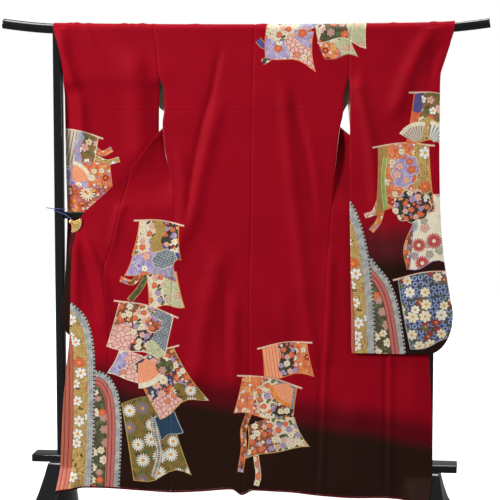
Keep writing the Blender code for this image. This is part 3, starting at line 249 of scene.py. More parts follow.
# Sleeves: height, inner and outer edge, depth of the near layer, of the far layer at its inner and
# outer edge, where the far layer ends outside, and where it starts inside
SLEEVE_CUTS = {
    "left": (
        (1.672, -0.303, -0.649, -0.0192, 0.0192, 0.0192, -0.649, -0.303),
        (1.640, -0.298, -0.640, -0.0193, 0.0193, 0.0193, -0.646, -0.298),
        (1.580, -0.289, -0.6225, -0.0195, 0.0220, 0.0195, -0.640, -0.289),
        (1.525, -0.283, -0.6135, -0.0197, 0.0235, 0.0195, -0.624, -0.2925),
        (1.495, -0.281, -0.6110, -0.0190, 0.0240, 0.0185, -0.6135, -0.293),
        (1.450, -0.282, -0.6125, -0.0110, 0.0240, 0.0120, -0.6125, -0.293),
        (1.350, -0.286, -0.6125, -0.0010, 0.0240, 0.0120, -0.6125, -0.293),
        (1.200, -0.288, -0.6125, 0.0080, 0.0220, 0.0150, -0.6125, -0.290),
        (1.040, -0.290, -0.6100, 0.0115, 0.0200, 0.0158, -0.6100, -0.290),
        (0.995, -0.290, -0.6105, 0.0113, 0.0195, 0.0155, -0.6105, -0.290),
        (0.900, -0.291, -0.6120, -0.0010, 0.0090, 0.0040, -0.6120, -0.291),
        (0.820, -0.292, -0.6130, -0.0145, -0.0055, -0.0100, -0.6130, -0.292),
        (0.765, -0.293, -0.6175, -0.0240, -0.0150, -0.0195, -0.6175, -0.293),
        (0.690, -0.294, -0.6270, -0.0320, -0.0250, -0.0285, -0.6270, -0.294),
        (0.600, -0.295, -0.6270, -0.0340, -0.0290, -0.0315, -0.6270, -0.295),
    ),
    "right": (
        (1.672, 0.369, 0.711, -0.0192, 0.0192, 0.0192, 0.711, 0.369),
        (1.640, 0.366, 0.703, -0.0193, 0.0193, 0.0193, 0.704, 0.366),
        (1.600, 0.363, 0.693, -0.0205, 0.0210, 0.0195, 0.686, 0.363),
        (1.555, 0.362, 0.679, -0.0230, 0.0230, 0.0180, 0.613, 0.362),
        (1.500, 0.361, 0.664, -0.0280, 0.0240, 0.0000, 0.606, 0.361),
        (1.460, 0.3635, 0.663, -0.0330, 0.0140, -0.0185, 0.606, 0.3530),
        (1.435, 0.365, 0.663, -0.0355, 0.0040, -0.0262, 0.632, 0.3510),
        (1.410, 0.366, 0.663, -0.0380, -0.0070, -0.0330, 0.663, 0.3550),
        (1.360, 0.366, 0.663, -0.0420, -0.0280, -0.0350, 0.663, 0.3620),
        (1.320, 0.366, 0.663, -0.0450, -0.0362, -0.0400, 0.663, 0.366),
        (1.090, 0.367, 0.667, -0.0540, -0.0445, -0.0490, 0.667, 0.367),
        (0.923, 0.371, 0.679, -0.0590, -0.0495, -0.0540, 0.679, 0.371),
        (0.807, 0.373, 0.697, -0.0620, -0.0530, -0.0575, 0.697, 0.373),
        (0.706, 0.375, 0.714, -0.0650, -0.0565, -0.0605, 0.714, 0.375),
        (0.570, 0.377, 0.714, -0.0680, -0.0605, -0.0645, 0.714, 0.377),
    ),
}
# Rounded lower corner of each sleeve: its height, how wide and tall the round is, where the wrist ends
SLEEVE_CORNER = {"left": (0.606, 0.045, 0.085, 1.430), "right": (0.574, 0.085, 0.125, 1.405)}
# Small rucks where the cloth turns over the bar: place, height and half width
RUCKS = ((-0.590, 0.0022, 0.008), (-0.566, 0.0034, 0.011), (-0.525, 0.0016, 0.009), (-0.402, 0.0026, 0.010),
         (-0.375, 0.0015, 0.007), (-0.340, 0.0030, 0.012), (-0.301, 0.0018, 0.006), (-0.160, 0.0014, 0.016),
         (0.070, 0.0018, 0.014), (0.215, 0.0016, 0.010), (0.372, 0.0024, 0.007), (0.410, 0.0020, 0.012),
         (0.505, 0.0018, 0.010), (0.640, 0.0030, 0.012))
# Half the gap between the layers where a sleeve is closed, and over what stretches it closes
SLEEVE_CLOSE = 0.00115
SLEEVE_CLOSE_OVER = 0.07
WRIST_SHARE = 0.25
WRIST_OVER = 0.05
# Stretch below the seam's end over which a sleeve's near layer leaves the body
JOIN_BELOW = 0.045
JOIN_OVER = 0.044

# Cut of each sheet that shows, width and length
BODY_CUT = (0.330, 3.200)
OKUMI_CUT = (0.150, 1.120)
SLEEVE_CUT = (0.345, 2.160)
COLLAR_CUT = (0.050, 2.000)

# Free end of each clip's cord beyond the post
CORD_FREE = {"left": 0.042, "right": 0.027}
# Head of a clip's pivot: how far out, in plates, and how wide there
PIVOT_HEAD = ((1.0, 0.55), (0.94, 0.86), (0.7, 1.0))
# Colour that unevenness darkens to
DARK = (0.0, 0.0, 0.0)


def ease(value: Array | float) -> Array:
    """Smooth step from 0 to 1."""
    value = np.clip(value, 0.0, 1.0)
    return value * value * (3.0 - 2.0 * value)


def mix(a: Array | float, b: Array | float, share: Array | float) -> Array:
    """Value a share of the way from a to b."""
    return a + (b - a) * share


def stack(x: Array, y: Array, z: Array) -> Array:
    """Points from their three coordinates, each of any matching shape."""
    return np.stack(np.broadcast_arrays(x, y, z), axis=-1).astype(float)


def unit(vectors: Array) -> Array:
    """Vectors scaled to length one."""
    return vectors / np.maximum(np.linalg.norm(vectors, axis=-1, keepdims=True), 1e-12)


class Side(Enum):
    """Which half of the garment, as the picture shows it."""

    LEFT = "left"
    RIGHT = "right"

    @property
    def toward(self) -> float:
        """Direction along X from the side line to the middle of the garment."""
        return 1.0 if self is Side.LEFT else -1.0


@dataclass(frozen=True)
class Curve:
    """Smooth curve through marks, which never overshoots them."""

    keys: Array
    values: Array
    tangents: Array

    @classmethod
    def through(cls, marks: Sequence[Mark]) -> "Curve":
        """Makes the curve.

        Args:
            marks: Pairs of a key and the value there, in any order.

        Returns:
            The curve through all of them.
        """
        keys, values = np.array(sorted(marks), float).T
        slopes = np.diff(values) / np.diff(keys)
        tangents = np.empty(len(keys))
        tangents[0], tangents[-1] = slopes[0], slopes[-1]
        before, after = slopes[:-1], slopes[1:]
        same_way = before * after > 0.0
        total = np.where(same_way, before + after, 1.0)
        tangents[1:-1] = np.where(same_way, 2.0 * before * after / total, 0.0)
        return cls(keys, values, tangents)

    def __call__(self, at: Array | float) -> Array:
        """Value at a key, held at the ends.

        Args:
            at: Key, or keys.

        Returns:
            The value at each key.
        """
        at = np.clip(at, self.keys[0], self.keys[-1])
        low = np.clip(np.searchsorted(self.keys, at, side="right") - 1, 0, len(self.keys) - 2)
        span = self.keys[low + 1] - self.keys[low]
        t = (at - self.keys[low]) / span
        return ((2 * t ** 3 - 3 * t ** 2 + 1) * self.values[low]
                + (t ** 3 - 2 * t ** 2 + t) * span * self.tangents[low]
                + (3 * t ** 2 - 2 * t ** 3) * self.values[low + 1]
                + (t ** 3 - t ** 2) * span * self.tangents[low + 1])


def columns(rows: Sequence[Sequence[float]]) -> list[Curve]:
    """Curves for each column of a table after its first, which is the key."""
    return [Curve.through([(row[0], row[i]) for row in rows]) for i in range(1, len(rows[0]))]


def weft_rows(side: Side) -> list[tuple[float, ...]]:
    """Weft lines of one front, from the table of both fronts' shape and its own reach.

    Args:
        side: Which front.

    Returns:
        Height, side x and y, turn x and y, edge turn x and y, edge x, y and z of each line.
    """
    way = side.toward
    shape = {height: rest for height, *rest in FRONT_SHAPE}
    rows = []
    for height, side_x, edge_x, edge_z in FRONT_REACH[side.value]:
        side_y, turn_x, turn_y, back_x, back_y, edge_y = shape[height]
        rows.append((height, side_x, side_y, way * turn_x, turn_y, way * back_x, back_y,
                     edge_x, edge_y, edge_z))
    return rows


@dataclass(frozen=True)
class Fold:
    """Soft ridge or trough along a line of a hanging sheet."""

    height: float
    width: float
    line: Curve

    def lift(self, x: Array, z: Array) -> Array:
        """How far the fold pushes the sheet forward at each point.

        Args:
            x: Place along X.
            z: Height.

        Returns:
            The push, in metres.
        """
        low, top = self.line.keys[0], self.line.keys[-1]
        fade = ease((top - z) / FOLD_FADE) * ease((z - low) / FOLD_FADE)
        return self.height * fade * np.exp(-((x - self.line(z)) / self.width) ** 2)


def folds_of(table: Sequence[tuple[float, float, Sequence[Mark]]]) -> list[Fold]:
    """Folds from their table."""
    return [Fold(height, width, Curve.through(line)) for height, width, line in table]


def by_side(make: Callable[[Sequence], Curve | list], table: dict[str, Sequence]) -> dict:
    """What is made of the rows that a table holds for each side."""
    return {side: make(rows) for side, rows in table.items()}


@dataclass
class Drape:
    """Shape of the hanging cloth, as functions of a place on each panel."""

    sides: dict[str, Curve] = field(default_factory=lambda: by_side(Curve.through, SIDE_LINE))
    edges: dict[str, Curve] = field(default_factory=lambda: by_side(Curve.through, EDGE_LINE))
    okumi: dict[str, Curve] = field(default_factory=lambda: by_side(Curve.through, OKUMI_LINE))
    centre: Curve = field(default_factory=lambda: Curve.through(CENTRE_LINE))
    hem: Curve = field(default_factory=lambda: Curve.through(HEM_LINE))
    foot: Curve = field(default_factory=lambda: Curve.through([(z, reach) for reach, z in FOOT_BACK]))
    wefts: dict[str, list[Curve]] = field(
        default_factory=lambda: {side.value: columns(weft_rows(side)) for side in Side})
    cuts: dict[str, list[Curve]] = field(default_factory=lambda: by_side(columns, SLEEVE_CUTS))
    body_folds: list[Fold] = field(default_factory=lambda: folds_of(BODY_FOLDS))
    sleeve_folds: dict[str, list[Fold]] = field(default_factory=lambda: by_side(folds_of, SLEEVE_FOLDS))

    def bar_z(self, x: Array) -> Array:
        """Height of the bar's axis."""
        tip = np.maximum(0.0, (np.abs(x) - BAR_TIP_FROM) / (BAR_HALF - BAR_TIP_FROM))
        return BAR_Z + BAR_BOW * np.minimum(1.0, (x / BAR_BOW_AT) ** 2) + BAR_TIP_RISE * tip ** 1.5

    def near_y(self, x: Array, z: Array) -> Array:
        """Depth of the near layer, with its folds, and kicked forward where it meets the feet.

        Args:
            x: Place along X.
            z: Height.

        Returns:
            The place along Y.
        """
        lean = HANG_Y + HANG_SLOPE * (HANG_TOP - z)
        y = -mix(FOLD_R, lean, ease((BAR_Z - z) / HANG_EASE))
        y = y - sum(fold.lift(x, z) for fold in self.body_folds)
        kick = np.maximum(0.0, self.foot(z) + FOOT_CLEAR + y)
        over = ease((np.abs(x) - KICK_X) / KICK_X_OVER) * ease((KICK_TOP - z) / KICK_TOP_OVER)
        return np.where(z < KICK_TOP, y - kick * over, y)

    def level(self, x: Array, height: Array) -> Array:
        """Height of a row at one place: low rows follow the hem, high rows follow the bar.

        Args:
            x: Place along X.
            height: Height of the row at the side line.

        Returns:
            The height there.
        """
        low = mix(self.hem(x), HEM_FLEX, (height - HEM_LOW) / (HEM_FLEX - HEM_LOW))
        high = height + (self.bar_z(x) - BAR_Z) * (height - HEM_FLEX) / (BAR_Z - HEM_FLEX)
        return np.where(height < HEM_FLEX, low, high)

    def back(self, side: Side, across: Array, height: Array) -> Array:
        """Points of a back length, across from its side line (0) to the centre seam (1).

        Args:
            side: Which half of the garment.
            across: Share of the way across.
            height: Height of each row.

        Returns:
            The points.
        """
        def x_at(z: Array) -> Array:
            """Place along the row at a height."""
            return mix(self.sides[side.value](z), self.centre(z), across)

        z = self.level(x_at(height), height)
        x = x_at(z)
        return stack(x, self.near_y(x, z), z)

    def near_x(self, side: Side, across: Array, z: Array) -> Array:
        """Where a front's column runs in the near layer."""
        return mix(self.sides[side.value](z), self.edges[side.value](z), across)

    def front(self, side: Side, across: Array, height: Array) -> tuple[Array, Array]:
        """Shape of a front.

        Args:
            side: Which front.
            across: Share of the way from the side line (0) to the front edge (1).
            height: Height of the row at the side line.

        Returns:
            The points and the directions in which the cloth's right side faces.
        """
        across, height = np.broadcast_arrays(np.asarray(across, float), np.asarray(height, float))
        way = side.toward
        low_z = self.level(self.near_x(side, across, height), height)
        low_x = self.near_x(side, across, low_z)
        low = stack(low_x, self.near_y(low_x, low_z), low_z)
        near_out = np.broadcast_to(np.array((0.0, -1.0, 0.0)), low.shape)
        side_x, side_y, turn_x, turn_y, back_x, back_y, edge_x, edge_y, edge_z = self.wefts[side.value]
        z = self.level(side_x(height), height)
        start_x = mix(side_x(z), self.sides[side.value](z), ease((PLEAT_MEETS - z) / PLEAT_OVER))
        a = stack(start_x, side_y(z), z)
        d = stack(edge_x(z), edge_y(z), edge_z(z))
        drop = (edge_z(z) - z) / 3
        b = stack(side_x(z), side_y(z), z) + stack(turn_x(z), turn_y(z), drop)
        c = d + stack(back_x(z), back_y(z), -drop)
        t = across[..., None]
        s = 1.0 - t
        point = a * s ** 3 + b * 3 * s * s * t + c * 3 * s * t * t + d * t ** 3
        along = (b - a) * s * s + (c - b) * 2 * s * t + (d - c) * t * t
        out = unit(stack(-along[..., 1], along[..., 0], 0.0 * along[..., 0])) * way
        behind = np.array((0.0, 1.0, 0.0))
        turned = unit(mix(behind, out, ease(across / TURN_SHARE)[..., None]))
        out = np.where((height > ARM_TURNS)[..., None], turned, out)
        near = ease((NEAR_FROM - z) / (NEAR_FROM - NEAR_BELOW))[..., None]
        flat = stack(point[..., 0], self.near_y(point[..., 0], point[..., 2]), point[..., 2])
        high = mix(point, flat, near)
        below = (height < NEAR_BELOW)[..., None]
        return np.where(below, low, high), unit(np.where(below, near_out, mix(out, near_out, near)))

    def okumi_share(self, side: Side, height: Array) -> Array:
        """How far across a front its okumi seam runs: 1 above the okumi's tip.

        Args:
            side: Which half of the garment.
            height: Height of each row.

        Returns:
            The share of the way from the side line to the edge.
        """
        height = np.asarray(height, float)
        target = self.okumi[side.value](height)
        low, high = np.full(height.shape, OKUMI_FROM), np.ones(height.shape)
        for _ in range(HALVINGS):
            middle = (low + high) / 2
            beyond = (self.front(side, middle, height)[0][..., 0] - target) * side.toward > 0.0
            low, high = np.where(beyond, middle, low), np.where(beyond, high, middle)
        return np.where(height >= OKUMI_TIP, 1.0, (low + high) / 2)

    def over_bar(self, x: Array, turn: Array) -> tuple[Array, Array]:
        """Points and outward directions on the fold. Turn runs from -1, front, to 1, behind.

        Args:
            x: Place along X.
            turn: How far round the bar.

        Returns:
            The points and the directions.
        """
        angle = np.asarray(turn) * math.pi / 2
        out = stack(np.zeros_like(x), np.sin(angle), np.cos(angle))
        lump = sum(tall * np.exp(-((x - at) / wide) ** 2) for at, tall, wide in RUCKS)
        rise = FOLD_R + lump * np.cos(angle) ** 2
        return stack(x, 0.0, self.bar_z(x)) + out * rise[..., None], out

    def sleeve_foot(self, side: Side, share: Array) -> Array:
        """Height of a sleeve's lower edge, with its rounded corner on the wrist's side.

        Args:
            side: Which half of the garment.
            share: Share of the way from the seam to the wrist.

        Returns:
            The height at each share.
        """
        bottom, wide, tall, _ = SLEEVE_CORNER[side.value]
        inner, outer = self.cuts[side.value][0], self.cuts[side.value][1]
        start = 1.0 - wide / abs(outer(bottom) - inner(bottom))
        turn = np.clip((share - start) / (1.0 - start), 0.0, 1.0)
        return bottom + tall * (1.0 - np.sqrt(np.maximum(0.0, 1.0 - turn * turn)))

    def sleeve(self, side: Side, far: bool, share: Array, row: Array) -> Array:
        """Points of one layer of a sleeve.

        Args:
            side: Which sleeve.
            far: True for the layer behind the bar.
            share: Share of the way from the sleeve's seam (0) to its wrist edge (1).
            row: Share of the way from the lower edge (0) up to the seam's end (1), then on to the bar (2).

        Returns:
            The points.
        """
        inner, outer, near, far_inner, far_outer, far_reach, far_start = self.cuts[side.value]
        top_x = mix(inner(BAR_Z), outer(BAR_Z), share)
        foot = self.sleeve_foot(side, share)
        low = mix(foot, self.level(top_x, np.float64(ARM_SEWN)), row)
        high = self.level(top_x, mix(ARM_SEWN, BAR_Z, row - 1.0))
        z = np.where(row > 1.0, high, low)
        start = (far_start if far else inner)(z)
        side_x, side_y = self.wefts[side.value][:2]
        sewn = side_x(z) if far else self.sides[side.value](z)
        start = np.where(z > ARM_HELD, sewn, start)
        x = mix(start, (far_reach if far else outer)(z), share)
        depth = mix(far_inner(z), far_outer(z), share)
        middle = (near(z) + (far_inner(z) + far_outer(z)) / 2) / 2
        wrist_ends = SLEEVE_CORNER[side.value][3]
        closed = mix(ease((1.0 - share) / WRIST_SHARE), 1.0, ease((z - wrist_ends) / WRIST_OVER))
        closed = closed * ease((z - foot) / SLEEVE_CLOSE_OVER)
        if far:
            y = mix(middle + SLEEVE_CLOSE, depth, closed)
            y = np.where(z > ARM_HELD, mix(side_y(z), y, ease(share / TURN_SHARE)), y)
        else:
            y = mix(middle - SLEEVE_CLOSE, near(z), closed)
            y = y - sum(fold.lift(x, z) for fold in self.sleeve_folds[side.value]) * (0.3 + 0.7 * closed)
            join = ease((z - ARM_SEWN + JOIN_BELOW) / JOIN_OVER) * (1.0 - ease(share / TURN_SHARE))
            y = mix(y, self.near_y(x, z), join)
        return stack(x, y, z)


@dataclass
class Patch:
    """Grid of one stretch of cloth, with its place in the plane that the pattern is drawn on."""

    points: Array
    outward: Array
    plane: Array
    patterned: bool = False

    def shading(self) -> Array:
        """Directions for smooth shading, from the grid's own slopes.

        Returns:
            A direction for each point.
        """
        along = np.gradient(self.points, axis=0)
        across = np.gradient(self.points, axis=1)
        normal = unit(np.cross(along, across))
        facing = np.sum(normal * self.outward, axis=-1, keepdims=True)
        return normal * np.where(facing < 0.0, -1.0, 1.0)


@dataclass(frozen=True)
class Shape:
    """Closed outline of one motif, with its finish and the coordinates that its finish is drawn in."""

    outline: Array
    finish: str
    place: Callable[[Array], Array]

    def holds(self, points: Array) -> Array:
        """Which points lie inside the outline.

        Args:
            points: Places in the pattern's plane.

        Returns:
            True or False for each point.
        """
        low, high = self.outline.min(axis=0), self.outline.max(axis=0)
        found = np.all((points >= low) & (points <= high), axis=1)
        x, y = points[found].T
        a, b = self.outline, np.roll(self.outline, -1, axis=0)
        ax, ay, bx, by = a[:, :1], a[:, 1:], b[:, :1], b[:, 1:]
        rising = np.where(by == ay, 1.0, by - ay)
        crossing = ((ay > y) != (by > y)) & (x < (bx - ax) * (y - ay) / rising + ax)
        found[found] = crossing.sum(axis=0) % 2 == 1
        return found


def placed(name: str, data: bpy.types.ID) -> bpy.types.Object:
    """Puts a mesh, curve, camera or light into the scene.

    Args:
        name: Name of the object.
        data: What it shows.

    Returns:
        The object.
    """
    thing = bpy.data.objects.new(name, data)
    bpy.context.scene.collection.objects.link(thing)
    return thing


class Skin(Enum):
    """Which part of a cloth wall a face belongs to."""

    RIGHT = 0
    LINING = 1
    RIM = 2


@dataclass
class Weave:
    """Faces and vertices of a panel's middle surface, welded and cut along the pattern's outlines."""

    points: list[Array] = field(default_factory=list)
    outward: list[Array] = field(default_factory=list)
    shading: list[Array] = field(default_factory=list)
    plane: list[Array] = field(default_factory=list)
    faces: list[tuple[int, ...]] = field(default_factory=list)
    owners: list[int] = field(default_factory=list)
    places: dict[tuple[int, ...], int] = field(default_factory=dict)
    weld: float = 2e-5
    tile: float = 0.035

    def vertex(self, point: Array, outward: Array, shading: Array, plane: Array) -> int:
        """Index of a vertex, the same one for the same place.

        Args:
            point: Its place.
            outward: Direction of the cloth's right side.
            shading: Direction for smooth shading.
            plane: Its place in the pattern's plane.

        Returns:
            The index.
        """
        place = point / self.weld
        keys = [(*np.round(place + shift).astype(int).tolist(), tag) for tag, shift in ((0, 0.0), (1, 0.5))]
        for key in keys:
            if key in self.places:
                found = self.places[key]
                if np.abs(self.points[found] - point).max() < self.weld / 2:
                    return found
        self.points.append(point)
        self.outward.append(outward)
        self.shading.append(shading)
        self.plane.append(plane)
        for key in keys:
            self.places[key] = len(self.points) - 1
        return len(self.points) - 1

    def add(self, patch: Patch, design: Sequence[Shape]) -> None:
        """Adds a patch.

        Args:
            patch: Grid to add.
            design: Shapes in the order they are painted, which cut a patterned patch.
        """
        rows, cols = patch.points.shape[:2]
        layers = [layer.reshape(-1, 3) for layer in (patch.points, np.array(patch.outward), patch.shading())]
        plane = patch.plane.reshape(-1, 2)
        index = [self.vertex(*spot) for spot in zip(*layers, plane)]
        grid = np.arange(rows * cols).reshape(rows, cols)
        quads = np.stack([grid[:-1, :-1], grid[1:, :-1], grid[1:, 1:], grid[:-1, 1:]], axis=-1).reshape(-1, 4)
        shapes = design if patch.patterned else ()
        crossed = self.crossed(plane[quads], shapes)
        faces = [tuple(index[k] for k in quad) for quad in quads[~crossed]]
        centres = [plane[quads[~crossed]].mean(axis=1)]
        tiles = np.floor(plane[quads].mean(axis=1) / self.tile).astype(int)
        for tile in np.unique(tiles[crossed], axis=0):
            members = quads[crossed & np.all(tiles == tile, axis=1)]
            rings, middles = self.cut(members, index, layers, plane, shapes)
            faces += rings
            centres.append(middles)
        rings = [tuple(dict.fromkeys(face)) for face in faces]
        owners = self.owned(np.concatenate(centres), shapes)
        for ring, owner in zip(rings, owners):
            if len(ring) > 2:
                self.faces.append(ring)
                self.owners.append(int(owner))

    def crossed(self, corners: Array, design: Sequence[Shape]) -> Array:
        """Which faces an outline may cross, by the boxes of both.

        Args:
            corners: Corners of each face in the pattern's plane.
            design: Shapes to test.

        Returns:
            True or False for each face.
        """
        low, high = corners.min(axis=1), corners.max(axis=1)
        found = np.zeros(len(corners), bool)
        for shape in design:
            ends = np.stack([shape.outline, np.roll(shape.outline, -1, axis=0)])
            first, last = ends.min(axis=0), ends.max(axis=0)
            near = np.flatnonzero(np.all((low <= last.max(axis=0)) & (high >= first.min(axis=0)), axis=1))
            if len(near):
                meets = (low[near, None] <= last[None]) & (high[near, None] >= first[None])
                found[near] |= np.all(meets, axis=2).any(axis=1)
        return found

    def owned(self, centres: Array, design: Sequence[Shape]) -> Array:
        """Number of the topmost shape at each place, or -1.

        Args:
            centres: Places in the pattern's plane.
            design: Shapes in the order they are painted.

        Returns:
            A number for each place.
        """
        owners = np.full(len(centres), -1)
        for number, shape in enumerate(design):
            owners[shape.holds(centres)] = number
        return owners

    def cut(self, quads: Array, index: list[int], layers: list[Array], plane: Array,
            design: Sequence[Shape]) -> tuple[list[tuple[int, ...]], Array]:
        """Cuts a few faces along the outlines that cross them.

        Args:
            quads: Corners of the faces in the patch's grid.
            index: Vertex of each place of the grid.
            layers: Points, outward directions and shading of the grid.
            plane: Places of the grid in the pattern's plane.
            design: Shapes whose outlines cut the faces.

        Returns:
            The new faces and their centres in the plane.
        """
        used = np.unique(quads)
        local = {int(v): k for k, v in enumerate(used)}
        low, high = plane[used].min(axis=0), plane[used].max(axis=0)
        coords = [Vector(place) for place in plane[used]]
        edges = []
        for shape in design:
            ends = np.stack([shape.outline, np.roll(shape.outline, -1, axis=0)])
            meets = np.all((ends.min(axis=0) <= high) & (ends.max(axis=0) >= low), axis=1)
            for k in np.flatnonzero(meets):
                edges.append((len(coords), len(coords) + 1))
                coords += [Vector(ends[0, k]), Vector(ends[1, k])]
        across = plane[quads[:, 2]] - plane[quads[:, 0]]
        along = plane[quads[:, 3]] - plane[quads[:, 1]]
        way = 1 if float(np.sum(across[:, 0] * along[:, 1] - across[:, 1] * along[:, 0])) > 0.0 else -1
        rings = [[local[int(v)] for v in quad[::way]] for quad in quads]
        made = geometry.delaunay_2d_cdt(coords, edges, rings, 0, 1e-7, True)
        verts, _, faces, old_verts, _, old_faces = made
        kept = [(face, old[0]) for face, old in zip(faces, old_faces) if old]
        if not kept:
            return [], np.zeros((0, 2))
        home = {v: quad for face, quad in kept for v in face}
        fresh = np.array(sorted(home))
        places = np.array([verts[v] for v in fresh])
        corners = quads[[home[v] for v in fresh]]
        blends = [self.inside(places, corners, plane, layer) for layer in layers]
        known = {}
        for k, v in enumerate(fresh):
            old = next((i for i in old_verts[v] if i < len(used)), -1)
            if old >= 0:
                known[v] = index[used[old]]
            else:
                point, outward, shading = (blend[k] for blend in blends)
                known[v] = self.vertex(point, unit(outward), unit(shading), places[k])
        flat = np.array(verts)
        return ([tuple(known[v] for v in face[::way]) for face, _ in kept],
                np.array([flat[list(face)].mean(axis=0) for face, _ in kept]))

    def inside(self, places: Array, corners: Array, plane: Array, layer: Array) -> Array:
        """Values of a layer at places inside faces, blended from the faces' corners.

        Args:
            places: Places in the pattern's plane.
            corners: Corners of the face that holds each place.
            plane: Places of the grid in the pattern's plane.
            layer: Values of the grid.

        Returns:
            A value for each place.
        """
        best, result = np.full(len(places), -1e9), np.zeros((len(places), 3))
        for trio in ((0, 1, 2), (0, 2, 3)):
            a, b, c = (plane[corners[:, k]] for k in trio)
            ab, ac, ap = b - a, c - a, places - a
            whole = ab[:, 0] * ac[:, 1] - ab[:, 1] * ac[:, 0]
            whole = np.where(np.abs(whole) < 1e-14, 1e-14, whole)
            u = (ap[:, 0] * ac[:, 1] - ap[:, 1] * ac[:, 0]) / whole
            v = (ab[:, 0] * ap[:, 1] - ab[:, 1] * ap[:, 0]) / whole
            shares = np.stack([1.0 - u - v, u, v], axis=1)
            least = shares.min(axis=1)
            shares = np.clip(shares, 0.0, 1.0)
            shares /= shares.sum(axis=1, keepdims=True)
            value = sum(shares[:, [k]] * layer[corners[:, n]] for k, n in enumerate(trio))
            result = np.where((least > best)[:, None], value, result)
            best = np.maximum(best, least)
        return result

    def shell(self, name: str, thickness: float, paints: "Paints") -> bpy.types.Object:
        """Makes the closed wall: right side, lining and rim.

        Args:
            name: Name of the piece.
            thickness: Thickness of the wall.
            paints: Finishes of the right side, the lining and the rim, and of each shape.

        Returns:
            The piece, linked to the scene.
        """
        middle, outward = np.array(self.points), np.array(self.outward)
        places = np.concatenate([middle + outward * thickness / 2, middle - outward * thickness / 2])
        right, lining, rim = self.walls(places)
        faces = [*right, *lining, *rim]
        kinds = [Skin.RIGHT] * len(right) + [Skin.LINING] * len(lining) + [Skin.RIM] * len(rim)
        owners = np.array(self.owners + [-1] * (len(lining) + len(rim)))
        corners = np.array([v for face in faces for v in face])
        data = bpy.data.meshes.new(name)
        data.from_pydata(places.tolist(), [], faces)
        data.shade_smooth()
        paints.dress(data, kinds, owners)
        owned = np.repeat(owners, [len(face) for face in faces])
        layer = data.uv_layers.new(name="pattern")
        spots = paints.spots(np.array(self.plane)[corners % len(middle)], owned)
        layer.data.foreach_set("uv", spots.astype(np.float32).ravel())
        way = np.where(corners < len(middle), 1.0, -1.0)[:, None]
        normals = np.array(self.shading)[corners % len(middle)] * way
        ends = corners[-4 * len(rim):].reshape(-1, 4)
        along, deep = places[ends[:, 1]] - places[ends[:, 0]], places[ends[:, 2]] - places[ends[:, 1]]
        normals[-4 * len(rim):] = np.repeat(unit(np.cross(along, deep)), 4, axis=0)
        data.normals_split_custom_set(normals.tolist())
        data.update()
        return placed(name, data)

    def walls(self, places: Array) -> tuple[list[tuple[int, ...]], ...]:
        """Faces of the closed wall, all looking outward.

        Args:
            places: Places of the right side's vertices, then the lining's.

        Returns:
            The faces of the right side, of the lining and of the rim.
        """
        count = len(self.points)
        right = self.faces
        if self.turned(places):
            right = [tuple(reversed(face)) for face in right]
        lining = [tuple(v + count for v in reversed(face)) for face in right]
        seen: dict[tuple[int, int], tuple[int, int]] = {}
        for face in right:
            for a, b in zip(face, face[1:] + face[:1]):
                key = (min(a, b), max(a, b))
                seen[key] = (a, b) if key not in seen else (-1, -1)
        rim = [(b, a, a + count, b + count) for a, b in seen.values() if a >= 0]
        return right, lining, rim

    def turned(self, places: Array) -> bool:
        """True if most faces are wound so that they look inward.

        Args:
            places: Places of the right side's vertices, then the lining's.

        Returns:
            Whether to turn the faces.
        """
        votes = 0.0
        for face in self.faces[::7]:
            a, b, c = places[list(face[:3])]
            votes += float(np.dot(np.cross(b - a, c - b), self.outward[face[0]]))
        return votes < 0.0


@dataclass
class Paints:
    """Finishes of one piece of cloth."""

    ground: bpy.types.Material
    lining: bpy.types.Material
    rim: bpy.types.Material
    design: Sequence[Shape] = ()
    motifs: dict[str, bpy.types.Material] = field(default_factory=dict)

    def of(self, kind: Skin, owner: int) -> bpy.types.Material:
        """Finish of one face.

        Args:
            kind: Part of the wall.
            owner: Number of the shape on it, or -1.

        Returns:
            The finish.
        """
        if kind is Skin.LINING:
            return self.lining
        if kind is Skin.RIM:
            return self.rim
        return self.ground if owner < 0 else self.motifs[self.design[owner].finish]

    def dress(self, data: bpy.types.Mesh, kinds: Sequence[Skin], owners: Array) -> None:
        """Gives each face of a mesh its finish.

        Args:
            data: The mesh.
            kinds: Part of the wall that each face belongs to.
            owners: Number of the shape on each face, or -1.
        """
        slots: dict[bpy.types.Material, int] = {}
        numbers = []
        for kind, owner in zip(kinds, owners):
            material = self.of(kind, owner)
            if material not in slots:
                slots[material] = len(slots)
                data.materials.append(material)
            numbers.append(slots[material])
        data.polygons.foreach_set("material_index", numbers)

    def spots(self, places: Array, owned: Array) -> Array:
        """Coordinates that the finishes are drawn in.

        Args:
            places: Places of the faces' corners in the pattern's plane.
            owned: Number of the shape on each corner's face, or -1.

        Returns:
            The coordinates: a shape's own on its faces, the plane's elsewhere.
        """
        found = places.copy()
        for owner in np.unique(owned[owned >= 0]):
            found[owned == owner] = self.design[owner].place(places[owned == owner])
        return found


def dye(red: int, green: int, blue: int) -> Rgb:
    """Linear colour from one written as a paint shop does, 0 to 255."""
    return tuple(((part / 255 + 0.055) / 1.055) ** 2.4 if part > 10 else part / 255 / 12.92
                 for part in (red, green, blue))


